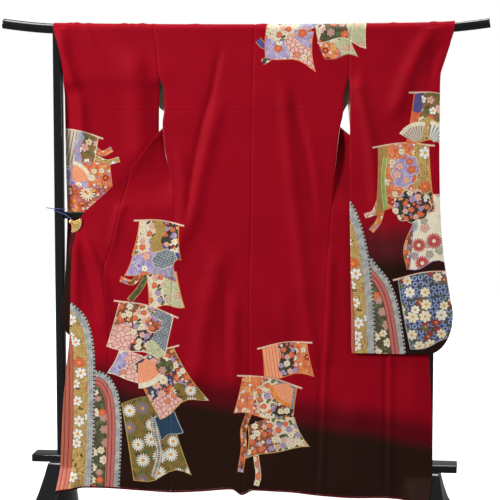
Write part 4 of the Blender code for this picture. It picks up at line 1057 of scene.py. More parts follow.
def swept(marks: Sequence[Mark], step: float = 0.005, closed: bool = False) -> Array:
    """Smooth line through marks.

    Args:
        marks: Places in the pattern's plane.
        step: Distance between the line's points.
        closed: True if the line ends where it starts.

    Returns:
        Points along the line.
    """
    points = np.array(marks, float)
    if closed:
        guide = np.concatenate([points[-1:], points, points[:2]])
    else:
        guide = np.concatenate([2 * points[:1] - points[1:2], points, 2 * points[-1:] - points[-2:-1]])
    line = []
    for a, b, c, d in zip(guide, guide[1:], guide[2:], guide[3:]):
        count = max(2, math.ceil(float(np.linalg.norm(c - b)) / step))
        t = np.linspace(0.0, 1.0, count, endpoint=False)[:, None]
        line.append((2 * b + (c - a) * t + (2 * a - 5 * b + 4 * c - d) * t ** 2
                     + (3 * b - a - 3 * c + d) * t ** 3) / 2)
    return np.concatenate(line if closed else line + [points[-1:]])


def beside(line: Array, reach: float) -> Array:
    """The line moved sideways, to its left if the reach is positive."""
    along = np.gradient(line, axis=0)
    return line + unit(np.stack([-along[:, 1], along[:, 0]], axis=1)) * reach


def along_line(line: Array) -> Callable[[Array], Array]:
    """Coordinates of places beside a line: how far along it, and how far to its left.

    Args:
        line: Points along the line.

    Returns:
        What reads the coordinates of places in the pattern's plane.
    """
    steps_of = np.diff(line, axis=0)
    lengths = np.linalg.norm(steps_of, axis=1)
    walked = np.concatenate([[0.0], np.cumsum(lengths)])[:-1]

    def place(points: Array) -> Array:
        """Coordinates of each point.

        Args:
            points: Places in the pattern's plane.

        Returns:
            The coordinates.
        """
        offset = points[:, None] - line[None, :-1]
        share = np.clip(np.sum(offset * steps_of, axis=2) / lengths ** 2, 0.0, 1.0)
        away = np.linalg.norm(offset - steps_of * share[..., None], axis=2)
        best = np.argmin(away, axis=1)
        rows = np.arange(len(points))
        cross = steps_of[best, 0] * offset[rows, best, 1] - steps_of[best, 1] * offset[rows, best, 0]
        return np.stack([walked[best] + share[rows, best] * lengths[best],
                         away[rows, best] * np.sign(cross)], axis=1)

    return place


def turned_by(centre: Mark, degrees: float) -> Callable[[Array], Array]:
    """Coordinates of places about a centre, on axes turned by an angle.

    Args:
        centre: Where they start.
        degrees: How far the axes are turned.

    Returns:
        What reads the coordinates of places in the pattern's plane.
    """
    angle = math.radians(degrees)
    matrix = np.array(((math.cos(angle), -math.sin(angle)), (math.sin(angle), math.cos(angle))))
    return lambda points: (points - np.array(centre)) @ matrix


@dataclass(frozen=True)
class Strips:
    """Bands that run side by side along one curve, from its right side inward."""

    marks: Sequence[Mark]
    widths: Sequence[tuple[float, str]]
    step: float = 0.008

    def shapes(self) -> list[Shape]:
        """Outlines of the bands.

        Returns:
            A shape for each band.
        """
        line, found, start = swept(self.marks, self.step), [], 0.0
        for width, finish in self.widths:
            outline = np.concatenate([beside(line, -start), beside(line, -start - width)[::-1]])
            found.append(Shape(outline, finish, along_line(beside(line, -start))))
            start += width
        return found


@dataclass(frozen=True)
class Ribbon:
    """Ribbon of one width with a straight or notched end."""

    marks: Sequence[Mark]
    width: float
    finish: str
    edge: str = "gold_edge"
    border: float = 0.0016
    step: float = 0.006

    def shapes(self) -> list[Shape]:
        """Outlines of the ribbon's edge and its field.

        Returns:
            The two shapes.
        """
        line = swept(self.marks, self.step)
        found = []
        for half, finish in ((self.width / 2, self.edge), (self.width / 2 - self.border, self.finish)):
            outline = np.concatenate([beside(line, half), beside(line, -half)[::-1]])
            found.append(Shape(outline, finish, along_line(line)))
        return found


@dataclass(frozen=True)
class Cloud:
    """Round field with a scalloped rim."""

    x: float
    z: float
    wide: float
    tall: float
    finish: str
    lobes: int = 7
    turn: float = 0.0
    edge: str = "cream_edge"
    border: float = 0.0018
    hollow: float = 0.90
    scallop: float = 0.14

    def shapes(self) -> list[Shape]:
        """Outlines of the rim and the field.

        Returns:
            The two shapes.
        """
        angles = np.linspace(0.0, 2.0 * math.pi, 6 * max(self.lobes, 5), endpoint=False)
        reach = np.ones(len(angles))
        if self.lobes:
            reach = self.hollow + self.scallop * np.abs(np.sin(angles * self.lobes / 2))
        turn = math.radians(self.turn)
        found = []
        for grown, finish in ((self.border, self.edge), (0.0, self.finish)):
            across = reach * np.cos(angles) * (self.wide / 2 + grown)
            up = reach * np.sin(angles) * (self.tall / 2 + grown)
            outline = np.stack([self.x + across * math.cos(turn) - up * math.sin(turn),
                                self.z + across * math.sin(turn) + up * math.cos(turn)], axis=1)
            found.append(Shape(outline, finish, turned_by((self.x, self.z), self.turn)))
        return found


@dataclass(frozen=True)
class Fan:
    """Open fan: a field of ribs between two arcs, and a plain guard along its rim."""

    x: float
    z: float
    reach: float
    first: float
    last: float
    finish: str
    rim: str = "cream"
    inner: float = 0.25
    ribs_end: float = 0.84

    def shapes(self) -> list[Shape]:
        """Outlines of the rim and the ribbed field.

        Returns:
            The two shapes.
        """
        found = []
        angles = np.radians(np.linspace(self.first, self.last, 14))
        for outer, finish in ((self.reach, self.rim), (self.reach * self.ribs_end, self.finish)):
            rays = np.stack([np.cos(angles), np.sin(angles)], axis=1)
            outline = np.concatenate([rays * outer, rays[::-1] * self.reach * self.inner]) + (self.x, self.z)
            found.append(Shape(outline, finish, self.polar))
        return found

    def polar(self, points: Array) -> Array:
        """Coordinates on the fan: round its pivot, at the rim's size, and out from it."""
        x, z = (points - (self.x, self.z)).T
        return np.stack([np.arctan2(z, x) * self.reach, np.hypot(x, z)], axis=1)


@dataclass(frozen=True)
class Cloth:
    """Piece of brocade that hangs from a rod: its rod, its edge, and the fields that divide it."""

    x: float
    z: float
    wide: float
    tall: float
    fields: Sequence[tuple[float, float, float, float, str]]
    lean: float = 0.0
    flare: float = 0.12
    sway: float = 0.05
    edge: str = "orange_edge"
    rod: bool = True
    skew: float = 0.0
    border: float = 0.0026
    rod_thick: float = 0.0085
    rod_over: float = 0.020
    rod_rise: float = 0.006
    sag: float = 0.012
    sag_wide: float = 0.15
    wave: float = 0.05

    def warp(self, across: Array, down: Array) -> Array:
        """Places in the plane of places on the cloth, each coordinate from 0 to 1.

        Args:
            across: Share of the way across.
            down: Share of the way down.

        Returns:
            Places in the pattern's plane.
        """
        spread = 1.0 + self.flare * down ** 2
        x = (across - 0.5) * self.wide * spread + self.skew * self.tall * down * np.abs(down)
        drop = down * (1.0 + self.sway * np.sin(across * 7.0 + self.x * 40.0))
        z = -drop * self.tall + self.sag * self.wide / self.sag_wide * np.cos((across - 0.5) * 3.0)
        turn = math.radians(self.lean)
        return np.stack([self.x + x * math.cos(turn) - z * math.sin(turn),
                         self.z + x * math.sin(turn) + z * math.cos(turn)], axis=-1)

    def field(self, left: float, top: float, right: float, foot: float) -> Array:
        """Outline of one field, its inner edges in soft waves.

        Args:
            left: Share across where it starts.
            top: Share down where it starts.
            right: Share across where it ends.
            foot: Share down where it ends.

        Returns:
            Points of the outline.
        """
        t = np.linspace(0.0, 1.0, 9)[:-1]
        edges = [(mix(left, right, t), top + 0 * t), (right + 0 * t, mix(top, foot, t)),
                 (mix(right, left, t), foot + 0 * t), (left + 0 * t, mix(foot, top, t))]
        across, down = (np.concatenate(part) for part in zip(*edges))
        inside = np.clip(across * (1.0 - across) * down * (1.0 - down) * 40.0, 0.0, 1.0)
        across = across + inside * self.wave * np.sin(down * 9.0 + self.z * 30.0)
        down = down + inside * self.wave * np.sin(across * 11.0 + self.x * 30.0)
        return self.warp(across, down)

    def shapes(self) -> list[Shape]:
        """Outlines of the rod, the edge and the fields.

        Returns:
            The shapes, in the order they are painted.
        """
        found = []
        place = turned_by((self.x, self.z), self.lean)
        if self.rod:
            over = 0.5 + self.rod_over / self.wide
            ends = self.warp(np.array((0.5 - over, 0.5, 0.5 + over)), np.zeros(3))
            ends[[0, 2], 1] += self.rod_rise
            found += Ribbon(ends.tolist(), self.rod_thick, "bone", "rust").shapes()
        beside_it, below = self.border / self.wide, self.border / self.tall
        grown = self.field(-beside_it, -0.3 * self.border / self.tall, 1.0 + beside_it, 1.0 + below)
        found.append(Shape(grown, self.edge, place))
        found += [Shape(self.field(*box), finish, place) for *box, finish in self.fields]
        return found


# Pattern of the body and of each sleeve. Places are on the near layer, in metres.
SLEEVES_MEET = 0.080
SHOULDER = (
    Ribbon(((0.100, 1.610), (0.075, 1.600), (0.055, 1.620)), 0.022, "violet"),
    Ribbon(((0.120, 1.585), (0.095, 1.560), (0.070, 1.545)), 0.020, "navy_bloom"),
    Cloth(0.165, 1.665, 0.155, 0.120, ((0.0, 0.0, 0.55, 0.5, "cream_bloom"),
                                       (0.55, 0.0, 1.0, 0.45, "lilac_bloom"),
                                       (0.0, 0.5, 0.45, 1.0, "lilac_bloom"),
                                       (0.45, 0.45, 1.0, 1.0, "pink_crackle")),
          lean=-14.0, flare=0.10, rod=False, skew=0.25),
    Cloth(0.300, 1.670, 0.105, 0.115, ((0.0, 0.0, 1.0, 0.55, "cream_bloom"),
                                       (0.0, 0.55, 0.5, 1.0, "orange_dots"),
                                       (0.5, 0.55, 1.0, 1.0, "sage")),
          lean=6.0, flare=0.05, edge="rust", rod=False, skew=0.20),
    Cloth(0.345, 1.690, 0.140, 0.082, ((0.0, 0.0, 0.6, 1.0, "olive_bloom"), (0.6, 0.0, 1.0, 1.0, "sage")),
          lean=-6.0, edge="cream_edge", rod=False, sway=0.10),
    Cloud(0.205, 1.690, 0.130, 0.070, "silver_bloom", 8),
)
BODY_DESIGN = (
    Strips(((-0.510, 0.495), (-0.480, 0.490), (-0.450, 0.470), (-0.425, 0.425), (-0.414, 0.370),
            (-0.410, 0.300), (-0.412, 0.220), (-0.420, 0.060)),
           ((0.022, "silver_dots"), (0.031, "rose_stripe"), (0.060, "olive_bloom"))),
    Strips(((-0.612, 0.745), (-0.589, 0.730), (-0.556, 0.705), (-0.528, 0.665), (-0.510, 0.600),
            (-0.504, 0.540), (-0.503, 0.470), (-0.504, 0.380), (-0.507, 0.247), (-0.513, 0.130),
            (-0.518, 0.060)),
           ((0.027, "silver_dots"), (0.048, "gold_vine"), (0.080, "salmon_stripe"))),
    Cloth(-0.330, 0.395, 0.160, 0.275, ((0.0, 0.0, 1.0, 1.0, "gold_daisy"),), lean=10.0, flare=0.22,
          edge="gold_edge", rod=False, skew=0.05),
    Ribbon(((-0.300, 0.340), (-0.292, 0.280), (-0.280, 0.210), (-0.300, 0.130)), 0.022, "pearl_dots", "rust"),
    Cloth(-0.262, 0.345, 0.070, 0.075, ((0.0, 0.0, 1.0, 1.0, "teal"),), lean=20.0, edge="silver_edge",
          rod=False),
    Cloth(-0.360, 0.545, 0.120, 0.090, ((0.0, 0.0, 0.30, 1.0, "lilac_bloom"),
                                        (0.30, 0.0, 1.0, 1.0, "pink_crackle")),
          lean=-18.0, flare=0.25, edge="cream_edge", rod=False),
    Cloth(-0.300, 0.545, 0.150, 0.200, ((0.0, 0.0, 0.75, 0.7, "navy_bloom"),
                                        (0.75, 0.0, 1.0, 0.7, "rust_bloom"),
                                        (0.0, 0.7, 0.55, 1.0, "pink_crackle"),
                                        (0.55, 0.7, 1.0, 1.0, "gold_daisy")),
          lean=24.0, flare=0.18, edge="gold_edge", skew=0.12),
    Fan(-0.355, 0.550, 0.115, -88.0, -22.0, "coral_pleat", "cream"),
    Ribbon(((-0.395, 0.640), (-0.420, 0.620), (-0.450, 0.618)), 0.018, "rust_bloom"),
    Ribbon(((-0.400, 0.615), (-0.425, 0.585), (-0.440, 0.575)), 0.016, "coral"),
    Cloth(-0.325, 0.705, 0.190, 0.160, ((0.0, 0.0, 0.35, 0.5, "rust_bloom"),
                                        (0.35, 0.0, 0.68, 0.5, "cream_bloom"),
                                        (0.68, 0.0, 1.0, 0.75, "silver_lattice"),
                                        (0.0, 0.5, 0.4, 1.0, "pink_crackle"),
                                        (0.4, 0.5, 0.68, 1.0, "black_bloom"), (0.68, 0.75, 1.0, 1.0, "sage")),
          lean=-14.0, flare=0.06, edge="cream_edge"),
    Ribbon(((-0.340, 0.845), (-0.370, 0.800), (-0.415, 0.810)), 0.019, "rust_bloom"),
    Ribbon(((-0.320, 0.830), (-0.350, 0.775), (-0.385, 0.735)), 0.021, "olive_bloom"),
    Cloth(-0.272, 0.830, 0.100, 0.120, ((0.0, 0.0, 0.55, 1.0, "cream_bloom"), (0.55, 0.0, 1.0, 1.0, "sage")),
          lean=8.0, flare=0.20, rod=False),
    Cloth(-0.300, 0.905, 0.135, 0.090, ((0.0, 0.0, 0.55, 1.0, "lilac_bloom"),
                                        (0.55, 0.0, 1.0, 1.0, "silver_bloom")),
          lean=-6.0, flare=0.30, edge="orange_edge", rod=False),
    Cloth(-0.280, 1.000, 0.135, 0.110, ((0.0, 0.0, 0.38, 1.0, "cream_bloom"), (0.38, 0.0, 0.62, 1.0, "gold"),
                                        (0.62, 0.0, 1.0, 0.8, "black_bloom"),
                                        (0.62, 0.8, 1.0, 1.0, "violet")),
          lean=-5.0, flare=0.22, edge="orange_edge"),
    Cloud(-0.262, 0.880, 0.085, 0.062, "silver_lattice", 8, 20.0),
    Cloud(-0.300, 0.655, 0.060, 0.050, "rust_bloom", 6),
    Cloud(-0.262, 0.515, 0.060, 0.060, "olive_bloom", 0, edge="coral"),
    Ribbon(((0.030, 0.360), (0.010, 0.300), (0.012, 0.240), (0.000, 0.155)), 0.020, "rust_bloom",
           "orange_edge"),
    Ribbon(((0.060, 0.330), (0.050, 0.250), (0.062, 0.150), (0.055, 0.110)), 0.019, "orange_dots",
           "cream_edge"),
    Cloth(0.150, 0.590, 0.150, 0.110, ((0.0, 0.0, 0.35, 1.0, "coral_pleat"),
                                       (0.35, 0.0, 0.7, 1.0, "black_bloom"),
                                       (0.7, 0.0, 1.0, 1.0, "orange_dots")),
          lean=8.0, flare=0.10),
    Cloth(0.100, 0.465, 0.185, 0.130, ((0.0, 0.0, 0.34, 1.0, "orange_dots"),
                                       (0.34, 0.0, 0.62, 1.0, "cream_bloom"),
                                       (0.62, 0.0, 1.0, 0.6, "silver_lattice"),
                                       (0.62, 0.6, 1.0, 1.0, "black_bloom")),
          lean=-10.0, flare=0.08, edge="orange_edge"),
    Cloth(0.105, 0.330, 0.160, 0.110, ((0.0, 0.0, 0.5, 1.0, "rust_bloom"),
                                       (0.5, 0.0, 1.0, 1.0, "cream_bloom")),
          lean=12.0, flare=0.35, edge="gold_edge", rod=False),
    Fan(0.185, 0.470, 0.090, 190.0, 262.0, "coral_pleat", "orange_edge"),
    Cloud(0.085, 0.395, 0.070, 0.070, "cream_bloom", 9, edge="rust"),
)
RIGHT_SLEEVE_DESIGN = (
    Strips(((0.440, 0.900), (0.465, 0.868), (0.500, 0.825), (0.528, 0.760), (0.545, 0.680), (0.557, 0.600),
            (0.563, 0.540)),
           ((0.022, "silver_dots"), (0.027, "rose_stripe"), (0.085, "olive_bloom"))),
    Strips(((0.335, 1.115), (0.378, 1.075), (0.410, 1.000), (0.434, 0.900), (0.447, 0.800), (0.455, 0.700),
            (0.460, 0.540)),
           ((0.029, "silver_dots"), (0.040, "gold_vine"), (0.050, "salmon_stripe"))),
    Cloth(0.625, 0.835, 0.185, 0.235, ((0.0, 0.0, 1.0, 1.0, "indigo_bloom"),), lean=8.0, flare=0.04,
          edge="silver_edge", skew=0.06),
    Ribbon(((0.470, 1.100), (0.450, 1.050), (0.418, 1.035)), 0.020, "pink_crackle", "rust"),
    Ribbon(((0.480, 1.080), (0.465, 1.020), (0.440, 0.985)), 0.019, "orange_dots"),
    Ribbon(((0.590, 1.010), (0.560, 0.930), (0.572, 0.860)), 0.024, "rust_bloom"),
    Cloth(0.640, 1.100, 0.125, 0.230, ((0.0, 0.0, 1.0, 1.0, "cream_fan"),), lean=4.0, flare=0.24,
          edge="lilac", rod=False, skew=-0.04),
    Cloth(0.545, 1.265, 0.165, 0.220, ((0.0, 0.0, 0.16, 1.0, "gold"), (0.16, 0.0, 0.68, 1.0, "orange_dots"),
                                       (0.68, 0.0, 1.0, 0.7, "gold_vine"),
                                       (0.68, 0.7, 1.0, 1.0, "black_bloom")),
          lean=2.0, flare=0.16, edge="orange_edge"),
    Ribbon(((0.485, 1.230), (0.478, 1.150), (0.488, 1.060)), 0.014, "leaf", "cream_edge"),
    Cloud(0.552, 1.185, 0.085, 0.112, "lilac_bloom", 8, -18.0),
    Cloud(0.575, 1.070, 0.125, 0.105, "black_bloom", 9, 14.0),
    Cloth(0.640, 1.435, 0.120, 0.160, ((0.0, 0.0, 0.20, 0.35, "violet"),
                                       (0.20, 0.0, 1.0, 0.55, "brown_bloom"),
                                       (0.0, 0.35, 0.20, 1.0, "coral"), (0.20, 0.55, 1.0, 1.0, "gold_vine")),
          lean=-6.0, flare=0.12, edge="orange_edge"),
    Fan(0.600, 1.270, 0.080, 78.0, 150.0, "umber_pleat", "cream"),
    Fan(0.625, 1.275, 0.078, 20.0, 84.0, "ink_pleat", "cream"),
)
LEFT_SLEEVE_DESIGN = (
    Ribbon(((-0.520, 1.260), (-0.485, 1.235), (-0.450, 1.250)), 0.019, "orange_dots"),
    Ribbon(((-0.515, 1.225), (-0.470, 1.205), (-0.425, 1.215)), 0.018, "gold_vine", "cream_edge"),
    Cloth(-0.560, 1.300, 0.125, 0.130, ((0.0, 0.0, 0.42, 1.0, "umber_pleat"),
                                        (0.42, 0.0, 0.62, 1.0, "silver_bloom"),
                                        (0.62, 0.0, 1.0, 1.0, "brown_bloom")),
          lean=-12.0, flare=0.10, edge="cream_edge"),
    Cloth(-0.550, 1.190, 0.180, 0.180, ((0.0, 0.0, 0.5, 0.45, "lilac_bloom"),
                                        (0.5, 0.0, 1.0, 0.45, "orange_dots"),
                                        (0.0, 0.45, 1.0, 1.0, "rust_fan")),
          lean=5.0, flare=0.05, edge="orange_edge", rod=False),
    Fan(-0.600, 1.130, 0.080, 10.0, 80.0, "coral_pleat", "cream"),
)


def design_of(*groups: Sequence[Strips | Ribbon | Cloud | Fan | Cloth]) -> list[Shape]:
    """Shapes of some motifs, in the order they are painted."""
    return [shape for group in groups for motif in group for shape in motif.shapes()]


def behind(shapes: Sequence[Shape], middle: float) -> list[Shape]:
    """The same shapes carried over the bar, mirrored onto a sleeve's far layer.

    Args:
        shapes: Shapes of the other sleeve's near layer.
        middle: Twice the place between the two sleeves.

    Returns:
        The shapes for the far layer.
    """
    over = np.array((middle, 2.0 * (BAR_Z + BAR_BOW) + math.pi * FOLD_R))

    def carried(place: Callable[[Array], Array]) -> Callable[[Array], Array]:
        """Reads a shape's own coordinates on the far layer."""
        return lambda points: place(over - points)

    return [Shape(over - shape.outline, shape.finish, carried(shape.place)) for shape in shapes]


def steps(length: float, step: float, ends: tuple[bool, bool] = (True, True)) -> Array:
    """Shares from 0 to 1 for even steps along a length, with closer ones beside its ends.

    Args:
        length: Length in metres.
        step: Largest step in metres.
        ends: Whether the start and the end get closer ones.

    Returns:
        The shares, rising.
    """
    count = max(2, math.ceil(length / step))
    even = np.linspace(0.0, 1.0, count + 1)
    close = np.array(CLOSE_STEPS) / length
    clear = close[-1] * CLOSE_CLEAR
    parts = [even[(even > clear) & (even < 1.0 - clear)], (0.0, 1.0)]
    parts.append(close if ends[0] else even[(even > 0.0) & (even <= clear)])
    parts.append(1.0 - close if ends[1] else even[(even < 1.0) & (even >= 1.0 - clear)])
    return np.unique(np.round(np.concatenate(parts), 9))


@dataclass
class Garment:
    """The furisode: its body, okumi, sleeves, collar and hem roll."""

    drape: Drape = field(default_factory=Drape)
    grid: float = GRID
    groove: float = 0.0016
    groove_width: float = 0.0030
    neck: Mark = (-0.055, 0.125)
    shoulder_wide: float = 0.26
    neck_half: float = 0.09
    okumi_wide: float = 0.12
    okumi_least: float = 0.97
    sleeve_wide: float = 0.35
    sleeve_open: float = 0.93
    sleeve_sewn: float = 0.15
    fold_rows: int = 16
    collar_wide: float = 0.050
    collar_thick: float = 0.0025
    collar_gap: float = 0.0007
    collar_loose: float = 0.0018
    collar_end: float = 0.985
    collar_fan: float = 0.070
    collar_free: float = 1.360
    collar_settle: float = 0.080
    collar_loosens: float = 0.05
    collar_slack: float = 0.05
    collar_least: float = 0.7
    collar_probe: float = 0.004
    collar_inward: float = 0.97
    collar_top: float = 0.006
    collar_coarse: float = 1.3
    hem_step: float = 0.002
    roll_tall: float = 0.0065
    roll_thick: float = 0.0045

    def heights(self) -> Array:
        """Row heights from the hem up to the bar's axis."""
        rows = HEM_LOW + steps(BAR_Z - HEM_LOW, self.grid, ends=(True, False)) * (BAR_Z - HEM_LOW)
        return np.unique(np.round(np.append(rows, (JOINT, NEAR_BELOW, ARM_SEWN)), 9))

    def pressed(self, points: Array, outward: Array, first: bool, last: bool) -> Array:
        """Presses the seams in a little along the first and last column.

        Args:
            points: Grid of points.
            outward: Directions of the cloth's right side.
            first: Whether the first column is a seam.
            last: Whether the last column is a seam.

        Returns:
            The grid of points with its seams pressed.
        """
        dent = np.zeros(points.shape[:2])
        for column, wanted in ((0, first), (-1, last)):
            if wanted:
                away = np.linalg.norm(points - points[:, [column]], axis=-1)
                dent += self.groove * np.exp(-(away / self.groove_width) ** 2)
        return points - outward * dent[..., None]

    def shoulder_shares(self) -> Array:
        """Columns of a front, from its side line to its okumi seam."""
        return steps(self.shoulder_wide, self.grid)

    def back_shares(self, side: Side) -> Array:
        """Columns of a back length: to the neck's corner as on the front, then on to the centre.

        Args:
            side: Which half of the garment.

        Returns:
            Shares of the way from the side line to the centre.
        """
        top_side = float(self.drape.sides[side.value](BAR_Z))
        corner = self.neck[0 if side is Side.LEFT else 1]
        neck = (corner - top_side) / (float(self.drape.centre(BAR_Z)) - top_side)
        onward = steps(self.neck_half, self.grid, ends=(False, True))
        return np.concatenate([neck * self.shoulder_shares(), mix(neck, 1.0, onward)[1:]])

    def front_rows(self, side: Side, heights: Array, okumi: bool) -> tuple[Array, Array]:
        """Grid of a front or its okumi.

        Args:
            side: Which front.
            heights: Heights of the rows.
            okumi: True for the okumi, False for the front itself.

        Returns:
            The points and outward directions.
        """
        share = self.drape.okumi_share(side, heights)[:, None]
        if okumi:
            across = mix(share, 1.0, steps(self.okumi_wide, self.grid)[None, :])
        else:
            across = share * self.shoulder_shares()[None, :]
        points, outward = self.drape.front(side, across, heights[:, None])
        return self.pressed(points, outward, True, not okumi), outward

    def split(self, weave: Weave, points: Array, outward: Array, heights: Array,
              design: Sequence[Shape]) -> None:
        """Adds a front's grid: plain above the place where it joins the near layer, patterned below.

        Args:
            weave: Panel to add to.
            points: Grid of points.
            outward: Directions of the right side.
            heights: Heights of the rows.
            design: Shapes that cut the patterned part.
        """
        joint = int(np.argmax(heights < JOINT_FROM))
        upper = stack(points[..., 0], 0.0, heights[:, None])[..., (0, 2)]
        lower = points[..., (0, 2)]
        if joint > 0:
            weave.add(Patch(points[:joint + 1], outward[:joint + 1], upper[:joint + 1]), design)
        weave.add(Patch(points[joint:], outward[joint:], lower[joint:], True), design)

    def body(self, side: Side, paints: Paints) -> bpy.types.Object:
        """One length of cloth: the back, over the bar, and the front.

        Args:
            side: Which half of the garment.
            paints: Finishes and pattern.

        Returns:
            The piece.
        """
        shares, heights = self.back_shares(side), self.heights()
        back = self.drape.back(side, shares[None, :], heights[:, None])
        forward = np.broadcast_to((0.0, -1.0, 0.0), back.shape)
        turn = np.linspace(-1.0, 1.0, self.fold_rows + 1)[:, None]
        top = back[-1, :, 0]
        fold, fold_out = self.drape.over_bar(np.broadcast_to(top, (len(turn), len(top))), turn)
        points = np.concatenate([back, fold[1:]])
        outward = np.concatenate([forward, fold_out[1:]])
        points = self.pressed(points, outward, True, True)
        unrolled = self.drape.bar_z(top) + FOLD_R * (turn + 1.0) * math.pi / 2
        over = np.stack([np.broadcast_to(top, unrolled.shape), unrolled], -1)
        plane = np.concatenate([back[..., (0, 2)], over[1:]])
        weave = Weave()
        weave.add(Patch(points, outward, plane, True), paints.design)
        down = heights[::-1][1:]
        front, front_out = self.front_rows(side, down, False)
        shoulder = len(self.shoulder_shares())
        front = np.concatenate([points[-1:, :shoulder], front])
        front_out = np.concatenate([outward[-1:, :shoulder], front_out])
        self.split(weave, front, front_out, np.append(BAR_Z, down), paints.design)
        return weave.shell("furisode_body_" + side.value, CLOTH, paints)

    def okumi(self, side: Side, paints: Paints) -> bpy.types.Object:
        """Overlap panel along the front, from its tip at the edge down to the hem.

        Args:
            side: Which half of the garment.
            paints: Finishes and pattern.

        Returns:
            The piece.
        """
        heights = self.heights()[::-1]
        heights = heights[self.drape.okumi_share(side, heights) < self.okumi_least]
        points, outward = self.front_rows(side, heights, True)
        weave = Weave()
        self.split(weave, points, outward, heights, paints.design)
        return weave.shell("furisode_okumi_" + side.value, CLOTH, paints)

    def sleeve(self, side: Side, paints: Paints) -> bpy.types.Object:
        """One length of cloth folded over the bar: near layer, fold and far layer.

        Args:
            side: Which half of the garment.
            paints: Finishes and pattern.

        Returns:
            The piece.
        """
        shares = steps(self.sleeve_wide, self.grid)[None, :]
        below = steps(self.sleeve_open, self.grid, ends=(True, False))
        above = np.linspace(1.0, 2.0, math.ceil(self.sleeve_sewn / self.grid) + 1)
        rows = np.concatenate([below, above[1:]])[:, None]
        near = self.drape.sleeve(side, False, shares, rows)
        far = self.drape.sleeve(side, True, shares, rows)[::-1]
        turn = np.linspace(-1.0, 1.0, self.fold_rows + 1)[1:-1, None]
        top = near[-1, :, 0]
        fold, fold_out = self.drape.over_bar(np.broadcast_to(top, (len(turn), len(top))), turn)
        points = np.concatenate([near, fold, far])
        outward = np.concatenate([np.broadcast_to((0.0, -1.0, 0.0), near.shape), fold_out,
                                  np.broadcast_to((0.0, 1.0, 0.0), far.shape)])
        points = self.pressed(points, outward, True, False)
        unrolled = self.drape.bar_z(top) + FOLD_R * (turn + 1.0) * math.pi / 2
        over = np.stack([np.broadcast_to(top, unrolled.shape), unrolled], -1)
        beyond = far[..., (0, 2)].copy()
        beyond[..., 1] = 2.0 * self.drape.bar_z(beyond[..., 0]) + math.pi * FOLD_R - beyond[..., 1]
        plane = np.concatenate([near[..., (0, 2)], over, beyond])
        weave = Weave()
        weave.add(Patch(points, outward, plane, True), paints.design)
        return weave.shell("furisode_sleeve_" + side.value, CLOTH, paints)

    def tucked(self, row: Array, out: Array, width: float) -> tuple[Array, Array]:
        """Point and outward direction on a front, a width in from its edge along its row.

        Args:
            row: Points of the row, from the edge inward.
            out: Outward directions of the row.
            width: How far in.

        Returns:
            The point and the direction.
        """
        lengths = np.concatenate([[0.0], np.cumsum(np.linalg.norm(np.diff(row, axis=0), axis=1))])
        point = np.array([np.interp(width, lengths, row[:, k]) for k in range(3)])
        facing = np.array([np.interp(width, lengths, out[:, k]) for k in range(3)])
        return point, unit(facing)

    def collar_start(self, angle: float, clear: float, beyond: Array, out: Array) -> Array:
        """Where a row of the collar starts, from the front's edge.

        Args:
            angle: How far the collar is turned: 0 beyond the edge, pi back under the front.
            clear: Distance that the turned collar keeps from the front.
            beyond: Direction past the edge.
            out: Direction of the front's right side.

        Returns:
            The way from the edge to the start.
        """
        if angle < math.pi / 2:
            return beyond * mix(self.collar_gap, clear, math.sin(angle))
        return (beyond * math.sin(angle) + out * math.cos(angle)) * clear

    def collar_rows(self, side: Side, heights: Array) -> tuple[Array, Array]:
        """Points and directions of the collar along one front.

        Args:
            side: Which front.
            heights: Heights of its rows.

        Returns:
            Grids of points and outward directions.
        """
        way = side.toward
        widths = self.collar_wide * steps(self.collar_wide, self.grid)
        edge = self.drape.front(side, 1.0, heights)[0]
        above = self.drape.front(side, 1.0, heights + self.collar_probe)[0]
        rise = unit(above - self.drape.front(side, 1.0, heights - self.collar_probe)[0])
        across = unit(edge - self.drape.front(side, self.collar_inward, heights)[0])
        slant = np.sum(across * rise, axis=1)
        beyond = unit(across - rise * slant[:, None])
        out = np.cross(rise, beyond) * way
        front, front_out = self.front_rows(side, heights, False)
        okumi, okumi_out = self.front_rows(side, heights, True)
        share = self.drape.okumi_share(side, heights)
        points, normals = [], []
        for i, height in enumerate(heights):
            settled = float(ease((self.collar_free - height) / self.collar_settle))
            clear = HALF + self.collar_gap + self.collar_thick / 2
            clear += self.collar_loose * float(ease((height - OKUMI_TIP) / self.collar_loosens))
            angle = math.atan2(-out[i, 0] * way, beyond[i, 0] * way)
            angle = math.pi if angle < -math.pi / 2 else max(0.0, angle)
            angle = min(angle, math.pi * (1.0 - self.collar_slack * (1.0 - settled)))
            fanned = 1.0 - float(ease((BAR_Z - height) / self.collar_fan))
            ahead = unit(beyond[i] - rise[i] * fanned)
            onward = ahead * math.cos(angle) - out[i] * math.sin(angle)
            facing = out[i] * math.cos(angle) + ahead * math.sin(angle)
            start = edge[i] + self.collar_start(angle, clear, beyond[i], out[i])
            panel, panel_out = front[i], front_out[i]
            if share[i] < self.okumi_least:
                panel = np.concatenate([panel, okumi[i][1:]])
                panel_out = np.concatenate([panel_out, okumi_out[i][1:]])
            row = [start + onward * width for width in widths]
            faces = [facing] * len(widths)
            if settled > 0.0:
                along = max(self.collar_least, math.sqrt(1.0 - slant[i] * slant[i]))
                for k, width in enumerate(widths):
                    spot, spot_out = self.tucked(panel[::-1], panel_out[::-1], width / along)
                    row[k] = mix(row[k], spot - spot_out * clear, settled)
                    faces[k] = unit(mix(facing, -spot_out, settled))
            points.append(row)
            normals.append(faces)
        return np.array(points), np.array(normals)

